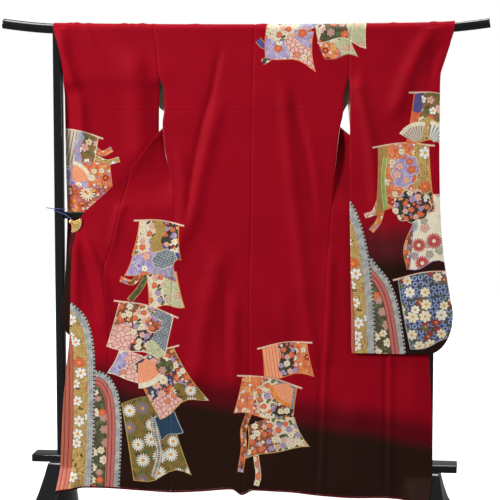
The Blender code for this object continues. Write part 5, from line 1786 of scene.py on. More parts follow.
    def collar(self, paints: Paints) -> bpy.types.Object:
        """Folded band along both fronts' edges and round the neck, turned under on its way down.

        Args:
            paints: Its finishes.

        Returns:
            The piece.
        """
        low, high = self.neck
        count = math.ceil((BAR_Z - self.collar_end) / (self.grid * self.collar_coarse))
        heights = np.linspace(self.collar_end, BAR_Z - self.collar_top, count)
        left, left_out = self.collar_rows(Side.LEFT, heights)
        right, right_out = self.collar_rows(Side.RIGHT, heights)
        x = np.linspace(low, high, math.ceil((high - low) / self.grid) + 1)
        near_corner = np.minimum(x - low, high - x)
        lean = (1.0 - ease(near_corner / self.collar_fan)) * np.where(x - low < high - x, 1.0, -1.0)
        onward = unit(stack(lean, 0.0, -1.0))[:, None]
        start = stack(x, FOLD_R, self.drape.bar_z(x))[:, None] + onward * self.collar_gap
        widths = self.collar_wide * steps(self.collar_wide, self.grid)
        neck = start + onward * widths[None, :, None]
        neck_out = np.broadcast_to((0.0, 1.0, 0.0), neck.shape)
        points = np.concatenate([left, neck, right[::-1]])
        outward = np.concatenate([left_out, neck_out, right_out[::-1]])
        run = np.linspace(0.0, 1.0, len(points))[:, None] * COLLAR_CUT[1]
        plane = np.stack(np.broadcast_arrays(widths[None, :], run), axis=-1)
        weave = Weave()
        weave.add(Patch(points, outward, plane), ())
        return weave.shell("furisode_collar", self.collar_thick, paints)

    def hem_path(self) -> Array:
        """Points along the whole lower edge, from one front edge to the other.

        Returns:
            The points.
        """
        path = []
        low = np.array([HEM_LOW])
        for side in Side:
            okumi = self.front_rows(side, low, True)[0][0][::-1]
            front = self.front_rows(side, low, False)[0][0][::-1]
            back = self.drape.back(side, self.back_shares(side), low)
            line = np.concatenate([okumi, front, back])
            path.append(line if side is Side.LEFT else line[::-1])
        line = np.concatenate(path)
        kept = [0]
        for k in range(1, len(line)):
            if line[k, 0] - line[kept[-1], 0] > self.hem_step:
                kept.append(k)
        return line[kept]

    def hem_roll(self, material: bpy.types.Material) -> bpy.types.Object:
        """Padded lining roll that shows along the hem.

        Args:
            material: Its finish.

        Returns:
            The piece.
        """
        middle = self.hem_path() - np.array((0.0, 0.0, self.roll_tall / 2 + GAP))
        angles = np.linspace(0.0, 2.0 * math.pi, 12, endpoint=False) + math.pi / 12
        section = stack(0.0, np.cos(angles) * self.roll_thick / 2, np.sin(angles) * self.roll_tall / 2)
        return loft("furisode_hem_roll", middle[:, None] + section[None], material)


def loft(name: str, rings: Array, material: bpy.types.Material, sharp: float = 40.0,
         paired: bool = False) -> bpy.types.Object:
    """Closed solid through rings of the same number of points.

    Args:
        name: Name of the piece.
        rings: Points, by ring and by place round it.
        material: Finish of the piece.
        sharp: Angle between faces, in degrees, above which their edge stays sharp.
        paired: True if each ring's points mirror one another, so that strips close its ends.

    Returns:
        The piece, linked to the scene.
    """
    count, around = len(rings), len(rings[0])
    faces = [[i * around + j, i * around + (j + 1) % around, (i + 1) * around + (j + 1) % around,
              (i + 1) * around + j] for i in range(count - 1) for j in range(around)]
    first, last = list(range(around)), [(count - 1) * around + j for j in range(around)]
    if paired:
        for row, way in ((first, -1), (last, 1)):
            faces += [[row[j], row[j + 1], row[around - 2 - j], row[around - 1 - j]][::way]
                      for j in range(around // 2 - 1)]
    else:
        faces += [first[::-1], last]
    return solid(name, np.asarray(rings).reshape(-1, 3), faces, material, sharp)


def solid(name: str, places: Array, faces: Sequence[Sequence[int]], material: bpy.types.Material,
          sharp: float = 40.0) -> bpy.types.Object:
    """Closed mesh with its faces turned outward.

    Args:
        name: Name of the piece.
        places: Its vertices.
        faces: Its faces, all wound the same way.
        material: Finish of the piece.
        sharp: Angle between faces, in degrees, above which their edge stays sharp.

    Returns:
        The piece, linked to the scene.
    """
    volume = 0.0
    for face in faces:
        for k in range(1, len(face) - 1):
            a, b, c = places[face[0]], places[face[k]], places[face[k + 1]]
            volume += float(np.dot(a, np.cross(b, c)))
    if volume < 0.0:
        faces = [list(reversed(face)) for face in faces]
    data = bpy.data.meshes.new(name)
    data.from_pydata(places.tolist(), [], faces)
    data.shade_smooth()
    data.set_sharp_from_angle(angle=math.radians(sharp))
    data.materials.append(material)
    data.update()
    return placed(name, data)


class Graph:
    """Node tree of one material, with short ways to wire it."""

    def __init__(self, name: str) -> None:
        """Makes the material.

        Args:
            name: Name of the material.
        """
        self.material = bpy.data.materials.new(name)
        self.material.use_nodes = True
        self.tree = self.material.node_tree
        self.shader = self.tree.nodes["Principled BSDF"]

    def wire(self, node: bpy.types.Node, key: str | int, value: Wired) -> None:
        """Links a socket to another one, or sets its value.

        Args:
            node: Node that takes it.
            key: Name or number of its input.
            value: Socket or value.
        """
        if isinstance(value, bpy.types.NodeSocket):
            self.tree.links.new(value, node.inputs[key])
        elif isinstance(value, tuple) and node.inputs[key].type == "RGBA":
            node.inputs[key].default_value = (*value, 1.0)
        else:
            node.inputs[key].default_value = value

    def add(self, kind: str, inputs: dict[str | int, Wired],
            **settings: str | float | bool) -> bpy.types.Node:
        """Adds a node.

        Args:
            kind: Short name of its type.
            inputs: Sockets to wire or set.
            settings: Its own properties.

        Returns:
            The node.
        """
        node = self.tree.nodes.new("ShaderNode" + kind)
        for key, value in settings.items():
            setattr(node, key, value)
        for key, value in inputs.items():
            self.wire(node, key, value)
        return node

    def math(self, operation: str, a: Wired, b: Wired = 0.0) -> bpy.types.NodeSocket:
        """Result of one sum."""
        return self.add("Math", {0: a, 1: b}, operation=operation).outputs[0]

    def span(self, value: Wired, times: float, plus: float) -> bpy.types.NodeSocket:
        """A value times one number, plus another."""
        return self.add("Math", {0: value, 1: times, 2: plus}, operation="MULTIPLY_ADD").outputs[0]

    def sine(self, value: Wired, rate: float) -> bpy.types.NodeSocket:
        """Sine of a value times a rate."""
        return self.math("SINE", self.math("MULTIPLY", value, rate))

    def worn(self, share: Wired, amount: float, color: Wired) -> bpy.types.NodeSocket:
        """A colour darkened by a share of an amount."""
        return self.blend(self.math("MULTIPLY", share, amount), color, DARK)

    def smooth(self, value: Wired, low: float, high: float) -> bpy.types.NodeSocket:
        """Smooth step from 0 at the low value to 1 at the high one.

        Args:
            value: Value to read.
            low: Where the step starts.
            high: Where it ends.

        Returns:
            The step.
        """
        step = self.add("MapRange", {"Value": value, "From Min": low, "From Max": high},
                        interpolation_type="SMOOTHSTEP")
        return step.outputs["Result"]

    def place(self, scale: Wired = 1.0) -> bpy.types.NodeSocket:
        """Place on the object, in metres, times a scale."""
        spot = self.add("TexCoord", {}).outputs["Object"]
        return self.add("VectorMath", {0: spot, 3: scale}, operation="SCALE").outputs[0]

    def pattern(self, size: float) -> bpy.types.NodeSocket:
        """Place in a motif's own coordinates, in units of a size."""
        spot = self.add("UVMap", {}, uv_map="pattern").outputs[0]
        return self.add("VectorMath", {0: spot, 3: 1.0 / size}, operation="SCALE").outputs[0]

    def split(self, vector: Wired) -> tuple[bpy.types.NodeSocket, ...]:
        """The three coordinates of a place."""
        return tuple(self.add("SeparateXYZ", {0: vector}).outputs)

    def noise(self, vector: Wired, scale: float, detail: float = 2.0) -> bpy.types.NodeSocket:
        """Soft noise from 0 to 1."""
        return self.add("TexNoise", {"Vector": vector, "Scale": scale, "Detail": detail}).outputs["Fac"]

    def blend(self, share: Wired, a: Wired, b: Wired) -> bpy.types.NodeSocket:
        """Colour a share of the way from a to b."""
        return self.add("Mix", {0: share, 6: a, 7: b}, data_type="RGBA").outputs[2]

    def ramp(self, value: Wired, stops: Sequence[tuple[float, Rgb]],
             sharp: bool = False) -> bpy.types.NodeSocket:
        """Colour read from a row of stops.

        Args:
            value: Place in the row, from 0 to 1.
            stops: Places and their colours.
            sharp: True if each colour runs up to the next one without a blend.

        Returns:
            The colour.
        """
        node = self.add("ValToRGB", {0: value})
        band = node.color_ramp
        band.interpolation = "CONSTANT" if sharp else "EASE"
        while len(band.elements) < len(stops):
            band.elements.new(1.0)
        for mark, (at, color) in zip(band.elements, stops):
            mark.position = at
            mark.color = (*color, 1.0)
        return node.outputs[0]

    def bump(self, height: Wired, distance: float, strength: float = 1.0,
             normal: bpy.types.NodeSocket | None = None) -> bpy.types.NodeSocket:
        """Shading of a relief, on top of another relief if one is given.

        Args:
            height: Height of the relief, from 0 to 1.
            distance: Its depth in metres.
            strength: Share of it that shows.
            normal: Shading of the relief below.

        Returns:
            The shading.
        """
        node = self.add("Bump", {"Height": height, "Distance": distance, "Strength": strength})
        if normal is not None:
            self.wire(node, "Normal", normal)
        return node.outputs[0]

    def finish(self, **sockets: Wired) -> bpy.types.Material:
        """Sets the shader's sockets, named with underscores for spaces, and gives the material.

        Args:
            sockets: Values or sockets.

        Returns:
            The material.
        """
        for key, value in sockets.items():
            self.wire(self.shader, key.replace("_", " "), value)
        return self.material


@dataclass(frozen=True)
class Silk:
    """Dyed silk crepe: fine grain, soft creases from storage, a quiet sheen."""

    name: str = "crimson_silk"
    color: Rgb = (0.335, 0.0026, 0.0120)
    deep: Rgb = (0.0225, 0.0095, 0.0062)
    between: Rgb = (0.115, 0.0035, 0.0085)
    deep_at: float = 0.425
    deep_slope: float = -0.16
    deep_middle: float = -0.10
    over: float = 0.075
    grain: float = 2600.0
    creases: tuple[tuple[float, float, float], ...] = ((1.399, 0.005, 0.0006), (1.043, 0.006, 0.0005))

    def dyed(self, graph: Graph) -> bpy.types.NodeSocket:
        """Colour of the ground, which turns to brown towards the hem.

        Args:
            graph: Node tree.

        Returns:
            The colour.
        """
        spot = graph.place()
        x, _, z = graph.split(spot)
        tilt = graph.span(x, -self.deep_slope, self.deep_slope * self.deep_middle - self.deep_at)
        cloudy = graph.math("MULTIPLY", graph.noise(spot, 3.0), 0.05)
        rise = graph.math("ADD", graph.math("ADD", z, tilt), cloudy)
        share = graph.span(rise, 0.5 / self.over, 0.5 - 0.025 * 0.5 / self.over)
        tone = graph.ramp(share, ((0.0, self.deep), (0.42, self.between), (1.0, self.color)))
        return graph.worn(graph.noise(spot, 9.0, 4.0), 0.30, tone)

    def crepe(self, graph: Graph) -> bpy.types.NodeSocket:
        """Relief of the crepe's grain over soft wrinkles.

        Args:
            graph: Node tree.

        Returns:
            The shading.
        """
        spot = graph.place()
        soft = graph.bump(graph.noise(spot, 38.0, 3.0), 0.0012, 0.5)
        x, _, z = graph.split(spot)
        wander = graph.math("MULTIPLY", graph.noise(spot, 5.0), 0.014)
        for height, width, depth in self.creases:
            away = graph.math("ABSOLUTE", graph.math("SUBTRACT", graph.math("ADD", z, wander), height))
            soft = graph.bump(graph.smooth(away, width, 0.0), depth, 0.7, soft)
        threads = graph.math("MULTIPLY", graph.sine(x, self.grain), graph.sine(z, self.grain))
        return graph.bump(threads, 0.00012, 0.35, graph.bump(graph.noise(spot, 900.0), 0.0002, 0.4, soft))

    def build(self) -> bpy.types.Material:
        """Makes the material.

        Returns:
            The material.
        """
        graph = Graph(self.name)
        rough = graph.span(graph.noise(graph.place(), 60.0), 0.16, 0.46)
        return graph.finish(Base_Color=self.dyed(graph), Roughness=rough, Normal=self.crepe(graph),
                            Specular_IOR_Level=0.03, Sheen_Weight=0.08, Sheen_Roughness=0.45,
                            Sheen_Tint=(1.0, 0.05, 0.10))


@dataclass(frozen=True)
class Lining:
    """Plain-woven silk of the lining: pale above, red towards the hem."""

    name: str = "lining_silk"
    color: Rgb = (0.62, 0.52, 0.44)
    low: Rgb = (0.34, 0.010, 0.018)
    turns_at: float = 0.80
    turn_over: float = 0.008
    grain: float = 3100.0

    def build(self) -> bpy.types.Material:
        """Makes the material.

        Returns:
            The material.
        """
        graph = Graph(self.name)
        spot = graph.place()
        x, _, z = graph.split(spot)
        line = graph.math("ADD", z, graph.math("MULTIPLY", graph.noise(spot, 2.0), 0.02))
        half = self.turn_over / 2
        upper = graph.smooth(line, self.turns_at - half, self.turns_at + half)
        tone = graph.worn(graph.noise(spot, 14.0), 0.25, graph.blend(upper, self.low, self.color))
        soft = graph.bump(graph.noise(spot, 45.0, 3.0), 0.001, 0.45)
        relief = graph.bump(graph.sine(x, self.grain), 0.0001, 0.3, soft)
        return graph.finish(Base_Color=tone, Roughness=0.5, Normal=relief, Sheen_Weight=0.2)


@dataclass(frozen=True)
class Lacquer:
    """Polished black lacquer with faint brush marks."""

    name: str = "black_lacquer"
    color: Rgb = (0.0045, 0.0052, 0.0060)
    rough: float = 0.10

    def build(self) -> bpy.types.Material:
        """Makes the material.

        Returns:
            The material.
        """
        graph = Graph(self.name)
        spot = graph.place()
        marks = graph.noise(spot, 130.0, 3.0)
        rough = graph.span(graph.noise(spot, 26.0, 4.0), 0.10, self.rough)
        tone = graph.blend(marks, self.color, tuple(1.6 * part for part in self.color))
        return graph.finish(Base_Color=tone, Roughness=rough, Normal=graph.bump(marks, 0.00025, 0.25),
                            Coat_Weight=1.0, Coat_Roughness=0.03, Specular_IOR_Level=0.10)


@dataclass(frozen=True)
class Brass:
    """Gilt brass, brighter in some patches and duller in others."""

    name: str = "gilt_brass"
    color: Rgb = (0.95, 0.68, 0.26)
    dull: Rgb = (0.66, 0.42, 0.14)

    def build(self) -> bpy.types.Material:
        """Makes the material.

        Returns:
            The material.
        """
        graph = Graph(self.name)
        spot = graph.place()
        wear = graph.noise(spot, 160.0, 4.0)
        tone = graph.blend(wear, self.color, self.dull)
        return graph.finish(Base_Color=tone, Roughness=graph.span(wear, 0.3, 0.2), Metallic=0.65,
                            Normal=graph.bump(graph.noise(spot, 700.0), 0.0001, 0.4))


@dataclass(frozen=True)
class Twist:
    """Twisted cord: two colours that wind about each other."""

    name: str = "indigo_cord"
    color: Rgb = (0.020, 0.026, 0.22)
    other: Rgb = (0.045, 0.060, 0.42)

    def build(self) -> bpy.types.Material:
        """Makes the material.

        Returns:
            The material.
        """
        graph = Graph(self.name)
        x, y, z = graph.split(graph.place(2400.0))
        winding = graph.math("SINE", graph.math("ADD", x, graph.math("ADD", y, z)))
        tone = graph.blend(graph.smooth(winding, -0.6, 0.8), self.color, self.other)
        return graph.finish(Base_Color=tone, Roughness=0.55, Normal=graph.bump(winding, 0.0004, 0.8),
                            Sheen_Weight=0.4)


@dataclass(frozen=True)
class Plaster:
    """Plain pale floor."""

    name: str = "studio_floor"
    color: Rgb = (0.93, 0.93, 0.93)

    def build(self) -> bpy.types.Material:
        """Makes the material.

        Returns:
            The material.
        """
        graph = Graph(self.name)
        fine = graph.noise(graph.place(), 40.0, 3.0)
        tone = graph.blend(fine, self.color, tuple(0.985 * part for part in self.color))
        return graph.finish(Base_Color=tone, Roughness=0.85, Normal=graph.bump(fine, 0.0005, 0.1))


class Trace(Enum):
    """Line work of a brocade."""

    NONE = "none"
    STRIPES = "stripes"
    RIBS = "ribs"
    DASHES = "dashes"
    BRICKS = "bricks"
    RINGS = "rings"
    CRACKLE = "crackle"
    CURLS = "curls"


@dataclass(frozen=True)
class Bloom:
    """Flowers strewn over a brocade."""

    cell: float
    petals: float
    colors: tuple[Rgb, ...]
    heart: Rgb = dye(226, 160, 60)
    rim: Rgb = dye(96, 60, 40)
    size: float = 0.46
    notch: float = 0.30
    kept: float = 0.0


WHITE, CREAM, PINK, CORAL = dye(240, 238, 228), dye(236, 224, 194), dye(232, 178, 164), dye(228, 104, 66)
RED, LILAC, NAVY, GOLD = dye(186, 40, 36), dye(166, 150, 192), dye(42, 46, 84), dye(190, 154, 84)
OLIVE, MAUVE, BLACK = dye(84, 76, 50), dye(142, 122, 134), dye(34, 27, 33)
SILVER, LEAF, APRICOT, TAN = dye(176, 178, 180), dye(98, 116, 66), dye(240, 176, 112), dye(150, 112, 62)

DAISIES = Bloom(0.060, 15.0, (WHITE, WHITE, MAUVE, WHITE), notch=0.55, rim=TAN)
SPRAYS = Bloom(0.034, 5.0, (WHITE, CORAL, PINK, CREAM))
MIXED = Bloom(0.026, 6.0, (PINK, CREAM, CORAL, LILAC), heart=GOLD)
SMALL = Bloom(0.014, 5.0, (WHITE, APRICOT, LILAC, CORAL), heart=RED, size=0.40, kept=0.35)
LEAVES = Bloom(0.021, 2.0, (LEAF, OLIVE, LEAF), heart=OLIVE, notch=0.75, rim=OLIVE, kept=0.45)


@dataclass(frozen=True)
class Brocade:
    """Dyed and gilded field of a motif: its ground, line work and flowers."""

    name: str
    ground: Rgb
    second: Rgb
    trace: Trace = Trace.NONE
    ink: Rgb = BLACK
    period: float = 0.008
    blooms: tuple[Bloom, ...] = ()
    gilt: float = 0.0
    grain: float = 3600.0

    def lines(self, graph: Graph) -> bpy.types.NodeSocket:
        """How strongly the line work shows at each place.

        Args:
            graph: Node tree.

        Returns:
            The strength, from 0 to 1.
        """
        spot = graph.pattern(self.period)
        along, across, _ = graph.split(spot)
        if self.trace in (Trace.STRIPES, Trace.RIBS):
            place = across if self.trace is Trace.STRIPES else along
            wave = graph.math("ABSOLUTE", graph.sine(place, math.pi))
            fine = graph.math("ABSOLUTE", graph.sine(place, 3.0 * math.pi))
            return graph.math("MULTIPLY", graph.smooth(wave, 0.25, 0.55), graph.smooth(fine, 0.05, 0.5))
        if self.trace is Trace.DASHES:
            row = graph.sine(graph.math("ADD", along, across), 2.0 * math.pi)
            other = graph.sine(graph.math("SUBTRACT", along, across), 2.0 * math.pi)
            edge = graph.smooth(graph.math("ABSOLUTE", across), 0.55, 0.35)
            beads = graph.smooth(graph.sine(along, 2.0 * math.pi), -0.2, 0.2)
            return graph.math("MAXIMUM", graph.smooth(graph.math("MULTIPLY", row, other), 0.50, 0.85),
                              graph.math("MULTIPLY", edge, beads))
        if self.trace is Trace.BRICKS:
            bricks = graph.add("TexBrick", {"Vector": spot, "Scale": 1.0, "Mortar Size": 0.07,
                                            "Brick Width": 1.3, "Row Height": 0.7})
            return bricks.outputs["Fac"]
        if self.trace is Trace.RINGS:
            cells = graph.add("TexVoronoi", {"Vector": spot, "Scale": 1.0, "Randomness": 0.0},
                              voronoi_dimensions="2D")
            away = graph.math("ABSOLUTE", graph.math("SUBTRACT", cells.outputs["Distance"], 0.33))
            return graph.smooth(away, 0.14, 0.07)
        if self.trace is Trace.CRACKLE:
            cells = graph.add("TexVoronoi", {"Vector": spot, "Scale": 1.0}, voronoi_dimensions="2D",
                              feature="DISTANCE_TO_EDGE")
            return graph.smooth(cells.outputs["Distance"], 0.09, 0.03)
        wander = graph.sine(graph.noise(spot, 0.8, 1.0), 34.0)
        return graph.smooth(graph.math("ABSOLUTE", wander), 0.34, 0.12)

    def strewn(self, graph: Graph, under: bpy.types.NodeSocket, bloom: Bloom,
               shift: float) -> bpy.types.NodeSocket:
        """Paints one kind of flower over a colour.

        Args:
            graph: Node tree.
            under: Colour below.
            bloom: The flower.
            shift: Moves this layer's cells off those of the layers below.

        Returns:
            The colour with the flowers on it.
        """
        spot = graph.add("VectorMath", {0: graph.pattern(bloom.cell), 1: (shift, shift * 1.7, 0.0)},
                         operation="ADD").outputs[0]
        cells = graph.add("TexVoronoi", {"Vector": spot, "Scale": 1.0, "Randomness": 0.62},
                          voronoi_dimensions="2D")
        away = graph.add("VectorMath", {0: spot, 1: cells.outputs["Position"]},
                         operation="SUBTRACT").outputs[0]
        x, y, _ = graph.split(away)
        first, second, third = graph.split(cells.outputs["Color"])
        turned = graph.math("MULTIPLY", first, 6.28)
        angle = graph.math("ADD", graph.math("ARCTAN2", y, x), turned)
        wave = graph.math("COSINE", graph.math("MULTIPLY", angle, bloom.petals / 2))
        lobe = graph.math("ABSOLUTE", wave)
        size = graph.math("MULTIPLY", graph.span(second, 0.35, 0.75), bloom.size)
        reach = graph.span(lobe, bloom.notch, 1.0 - bloom.notch)
        inside = graph.math("SUBTRACT", graph.math("MULTIPLY", size, reach), cells.outputs["Distance"])
        kept = graph.math("GREATER_THAN", third, bloom.kept)
        stops = [(bloom.kept + (1.0 - bloom.kept) * k / len(bloom.colors), color)
                 for k, color in enumerate(bloom.colors)]
        petal = graph.ramp(third, stops, sharp=True)
        vein = graph.math("MULTIPLY", graph.smooth(lobe, 0.30, 0.05), 0.55)
        petal = graph.blend(vein, petal, bloom.rim)
        heart = graph.smooth(cells.outputs["Distance"], 0.11, 0.085)
        petal = graph.blend(heart, petal, bloom.heart)
        outer = graph.math("MULTIPLY", graph.smooth(inside, -0.045, -0.02), kept)
        inner = graph.math("MULTIPLY", graph.smooth(inside, -0.015, 0.015), kept)
        return graph.blend(inner, graph.blend(outer, under, bloom.rim), petal)

    def build(self) -> bpy.types.Material:
        """Makes the material.

        Returns:
            The material.
        """
        graph = Graph(self.name)
        spot = graph.place()
        tone = graph.blend(graph.smooth(graph.noise(graph.pattern(0.02), 1.0, 3.0), 0.35, 0.65),
                           self.ground, self.second)
        if self.trace is not Trace.NONE:
            tone = graph.blend(self.lines(graph), tone, self.ink)
        for number, bloom in enumerate(self.blooms):
            tone = self.strewn(graph, tone, bloom, 3.3 * number)
        tone = graph.worn(graph.noise(spot, 70.0, 4.0), 0.18, tone)
        x, _, z = graph.split(spot)
        threads = graph.sine(graph.math("ADD", x, z), self.grain)
        soft = graph.bump(graph.noise(spot, 420.0), 0.0004, 0.4)
        relief = graph.bump(threads, 0.0002, 0.35, soft)
        rough = graph.span(graph.noise(spot, 90.0), 0.2, 0.42)
        return graph.finish(Base_Color=tone, Roughness=rough, Normal=relief, Metallic=self.gilt,
                            Specular_IOR_Level=0.25, Sheen_Weight=0.1)


def plain(name: str, tone: Rgb, gilt: float = 0.0) -> Brocade:
    """Field of one colour, a little uneven."""
    return Brocade(name, tone, tuple(0.82 * part for part in tone), gilt=gilt)


BROCADES = (
    plain("gold", GOLD, 0.25), plain("gold_edge", dye(216, 178, 96), 0.25),
    plain("orange_edge", dye(236, 140, 66)),
    plain("cream_edge", CREAM), plain("silver_edge", SILVER), plain("bone", dye(244, 208, 184)),
    plain("rust", dye(146, 66, 42)), plain("violet", dye(84, 78, 142)),
    Brocade("sage", dye(208, 202, 160), dye(190, 190, 150), Trace.CURLS, dye(150, 150, 104), 0.030,
            (Bloom(0.032, 5.0, (WHITE, PINK), size=0.34, kept=0.5),)),
    plain("teal", dye(38, 66, 92)), plain("coral", CORAL), plain("cream", CREAM),
    plain("leaf", dye(160, 184, 84)), plain("lilac", LILAC),
    Brocade("silver_dots", dye(196, 194, 188), dye(160, 160, 158), Trace.DASHES, dye(44, 40, 42), 0.0135),
    Brocade("pearl_dots", CREAM, SILVER, Trace.DASHES, BLACK, 0.0075),
    Brocade("gold_vine", GOLD, dye(206, 172, 104), Trace.CURLS, dye(92, 62, 22), 0.034,
            (Bloom(0.052, 6.0, (WHITE, WHITE, CORAL, WHITE), size=0.38, notch=0.42, kept=0.15),)),
    Brocade("salmon_stripe", dye(142, 56, 44), dye(124, 44, 36), Trace.STRIPES, dye(196, 108, 84), 0.0150),
    Brocade("rose_stripe", dye(140, 52, 52), dye(120, 44, 48), Trace.STRIPES, dye(204, 116, 104), 0.0130),
    Brocade("olive_bloom", OLIVE, dye(70, 66, 46), Trace.CURLS, dye(112, 118, 78), 0.026,
            (LEAVES, Bloom(0.036, 6.0, (CORAL, PINK, dye(190, 150, 140), CREAM)))),
    Brocade("gold_daisy", dye(144, 118, 56), dye(124, 100, 46), blooms=(LEAVES, DAISIES), gilt=0.15),
    Brocade("navy_bloom", NAVY, dye(58, 60, 96), Trace.CURLS, LEAF, 0.022,
            (SMALL, Bloom(0.038, 10.0, (CORAL, CREAM, PINK)))),
    Brocade("pink_crackle", PINK, dye(240, 200, 184), Trace.CRACKLE, dye(168, 72, 60), 0.016,
            (Bloom(0.034, 6.0, (dye(222, 130, 110), CREAM), size=0.34, kept=0.55),)),
    Brocade("cream_bloom", CREAM, dye(228, 212, 188), Trace.CURLS, dye(196, 150, 110), 0.030,
            (LEAVES, MIXED)),
    Brocade("lilac_bloom", LILAC, dye(196, 184, 206), Trace.CURLS, dye(120, 104, 160), 0.036,
            (Bloom(0.032, 5.0, (PINK, WHITE, CORAL), kept=0.3),)),
    Brocade("silver_lattice", dye(160, 166, 170), dye(140, 146, 152), Trace.BRICKS, BLACK, 0.011),
    Brocade("silver_bloom", dye(180, 182, 190), dye(160, 160, 176), Trace.CURLS, MAUVE, 0.030,
            (Bloom(0.036, 9.0, (LILAC, CREAM, dye(120, 120, 150))),)),
    Brocade("black_bloom", BLACK, dye(58, 40, 48), Trace.CURLS, LEAF, 0.020, (SMALL, MIXED)),
    Brocade("rust_bloom", dye(146, 66, 42), dye(112, 58, 44), Trace.CURLS, GOLD, 0.022, (SMALL, MIXED)),
    Brocade("brown_bloom", dye(128, 94, 50), dye(150, 116, 70), blooms=(LEAVES, SPRAYS), gilt=0.1),
    Brocade("orange_dots", dye(212, 98, 54), dye(226, 120, 70), Trace.CURLS, dye(244, 190, 132), 0.024,
            (SMALL, Bloom(0.034, 8.0, (dye(238, 168, 112), CREAM, RED), size=0.38, kept=0.35))),
    Brocade("indigo_bloom", dye(50, 60, 96), dye(70, 80, 118), Trace.RINGS, dye(150, 164, 196), 0.0200,
            (Bloom(0.042, 2.0, (dye(150, 60, 60),), size=0.5, notch=0.8, kept=0.55), LEAVES,
             Bloom(0.048, 7.0, (CREAM, WHITE, CREAM), size=0.42, kept=0.25))),
    Brocade("cream_fan", CREAM, dye(240, 230, 206),
            blooms=(Bloom(0.040, 5.0, (LILAC, dye(172, 176, 170), PINK), size=0.36, kept=0.4),
                    Bloom(0.064, 18.0, (RED, dye(150, 150, 160), RED), heart=CREAM, notch=0.4, rim=WHITE,
                          kept=0.3))),
    Brocade("rust_fan", dye(186, 76, 46), dye(160, 62, 44), Trace.CURLS, APRICOT, 0.022,
            (Bloom(0.060, 14.0, (CREAM, APRICOT, CORAL), notch=0.6), SMALL)),
    Brocade("coral_pleat", dye(214, 96, 62), dye(226, 112, 74), Trace.RIBS, dye(246, 176, 132), 0.011),
    Brocade("umber_pleat", dye(92, 66, 54), dye(112, 84, 66), Trace.RIBS, dye(224, 208, 186), 0.012),
    Brocade("ink_pleat", BLACK, dye(30, 30, 34), Trace.RIBS, WHITE, 0.016),
)


def rounded(wide: float, deep: float, radius: float, fine: int = 6, between: int = 0) -> Array:
    """Outline of a rectangle with round corners, in mirrored pairs from its far side.

    Args:
        wide: Its width.
        deep: Its depth.
        radius: Radius of its corners.
        fine: Steps in each corner.
        between: Points along each straight side.

    Returns:
        The outline's points.
    """
    half = []
    straight = deep / 2 - radius
    for sign, start in ((1.0, 90.0), (-1.0, 0.0)):
        angles = np.radians(start - np.linspace(0.0, 90.0, fine + 1))
        half.append(np.stack([wide / 2 - radius + radius * np.cos(angles),
                              sign * straight + radius * np.sin(angles)], axis=1))
        if sign > 0.0 and between:
            places = straight * np.linspace(1.0, -1.0, between + 2)[1:-1]
            half.append(np.stack([np.full(between, wide / 2), places], axis=1))
    right = np.concatenate(half)
    return np.concatenate([right, right[::-1] * (-1.0, 1.0)])


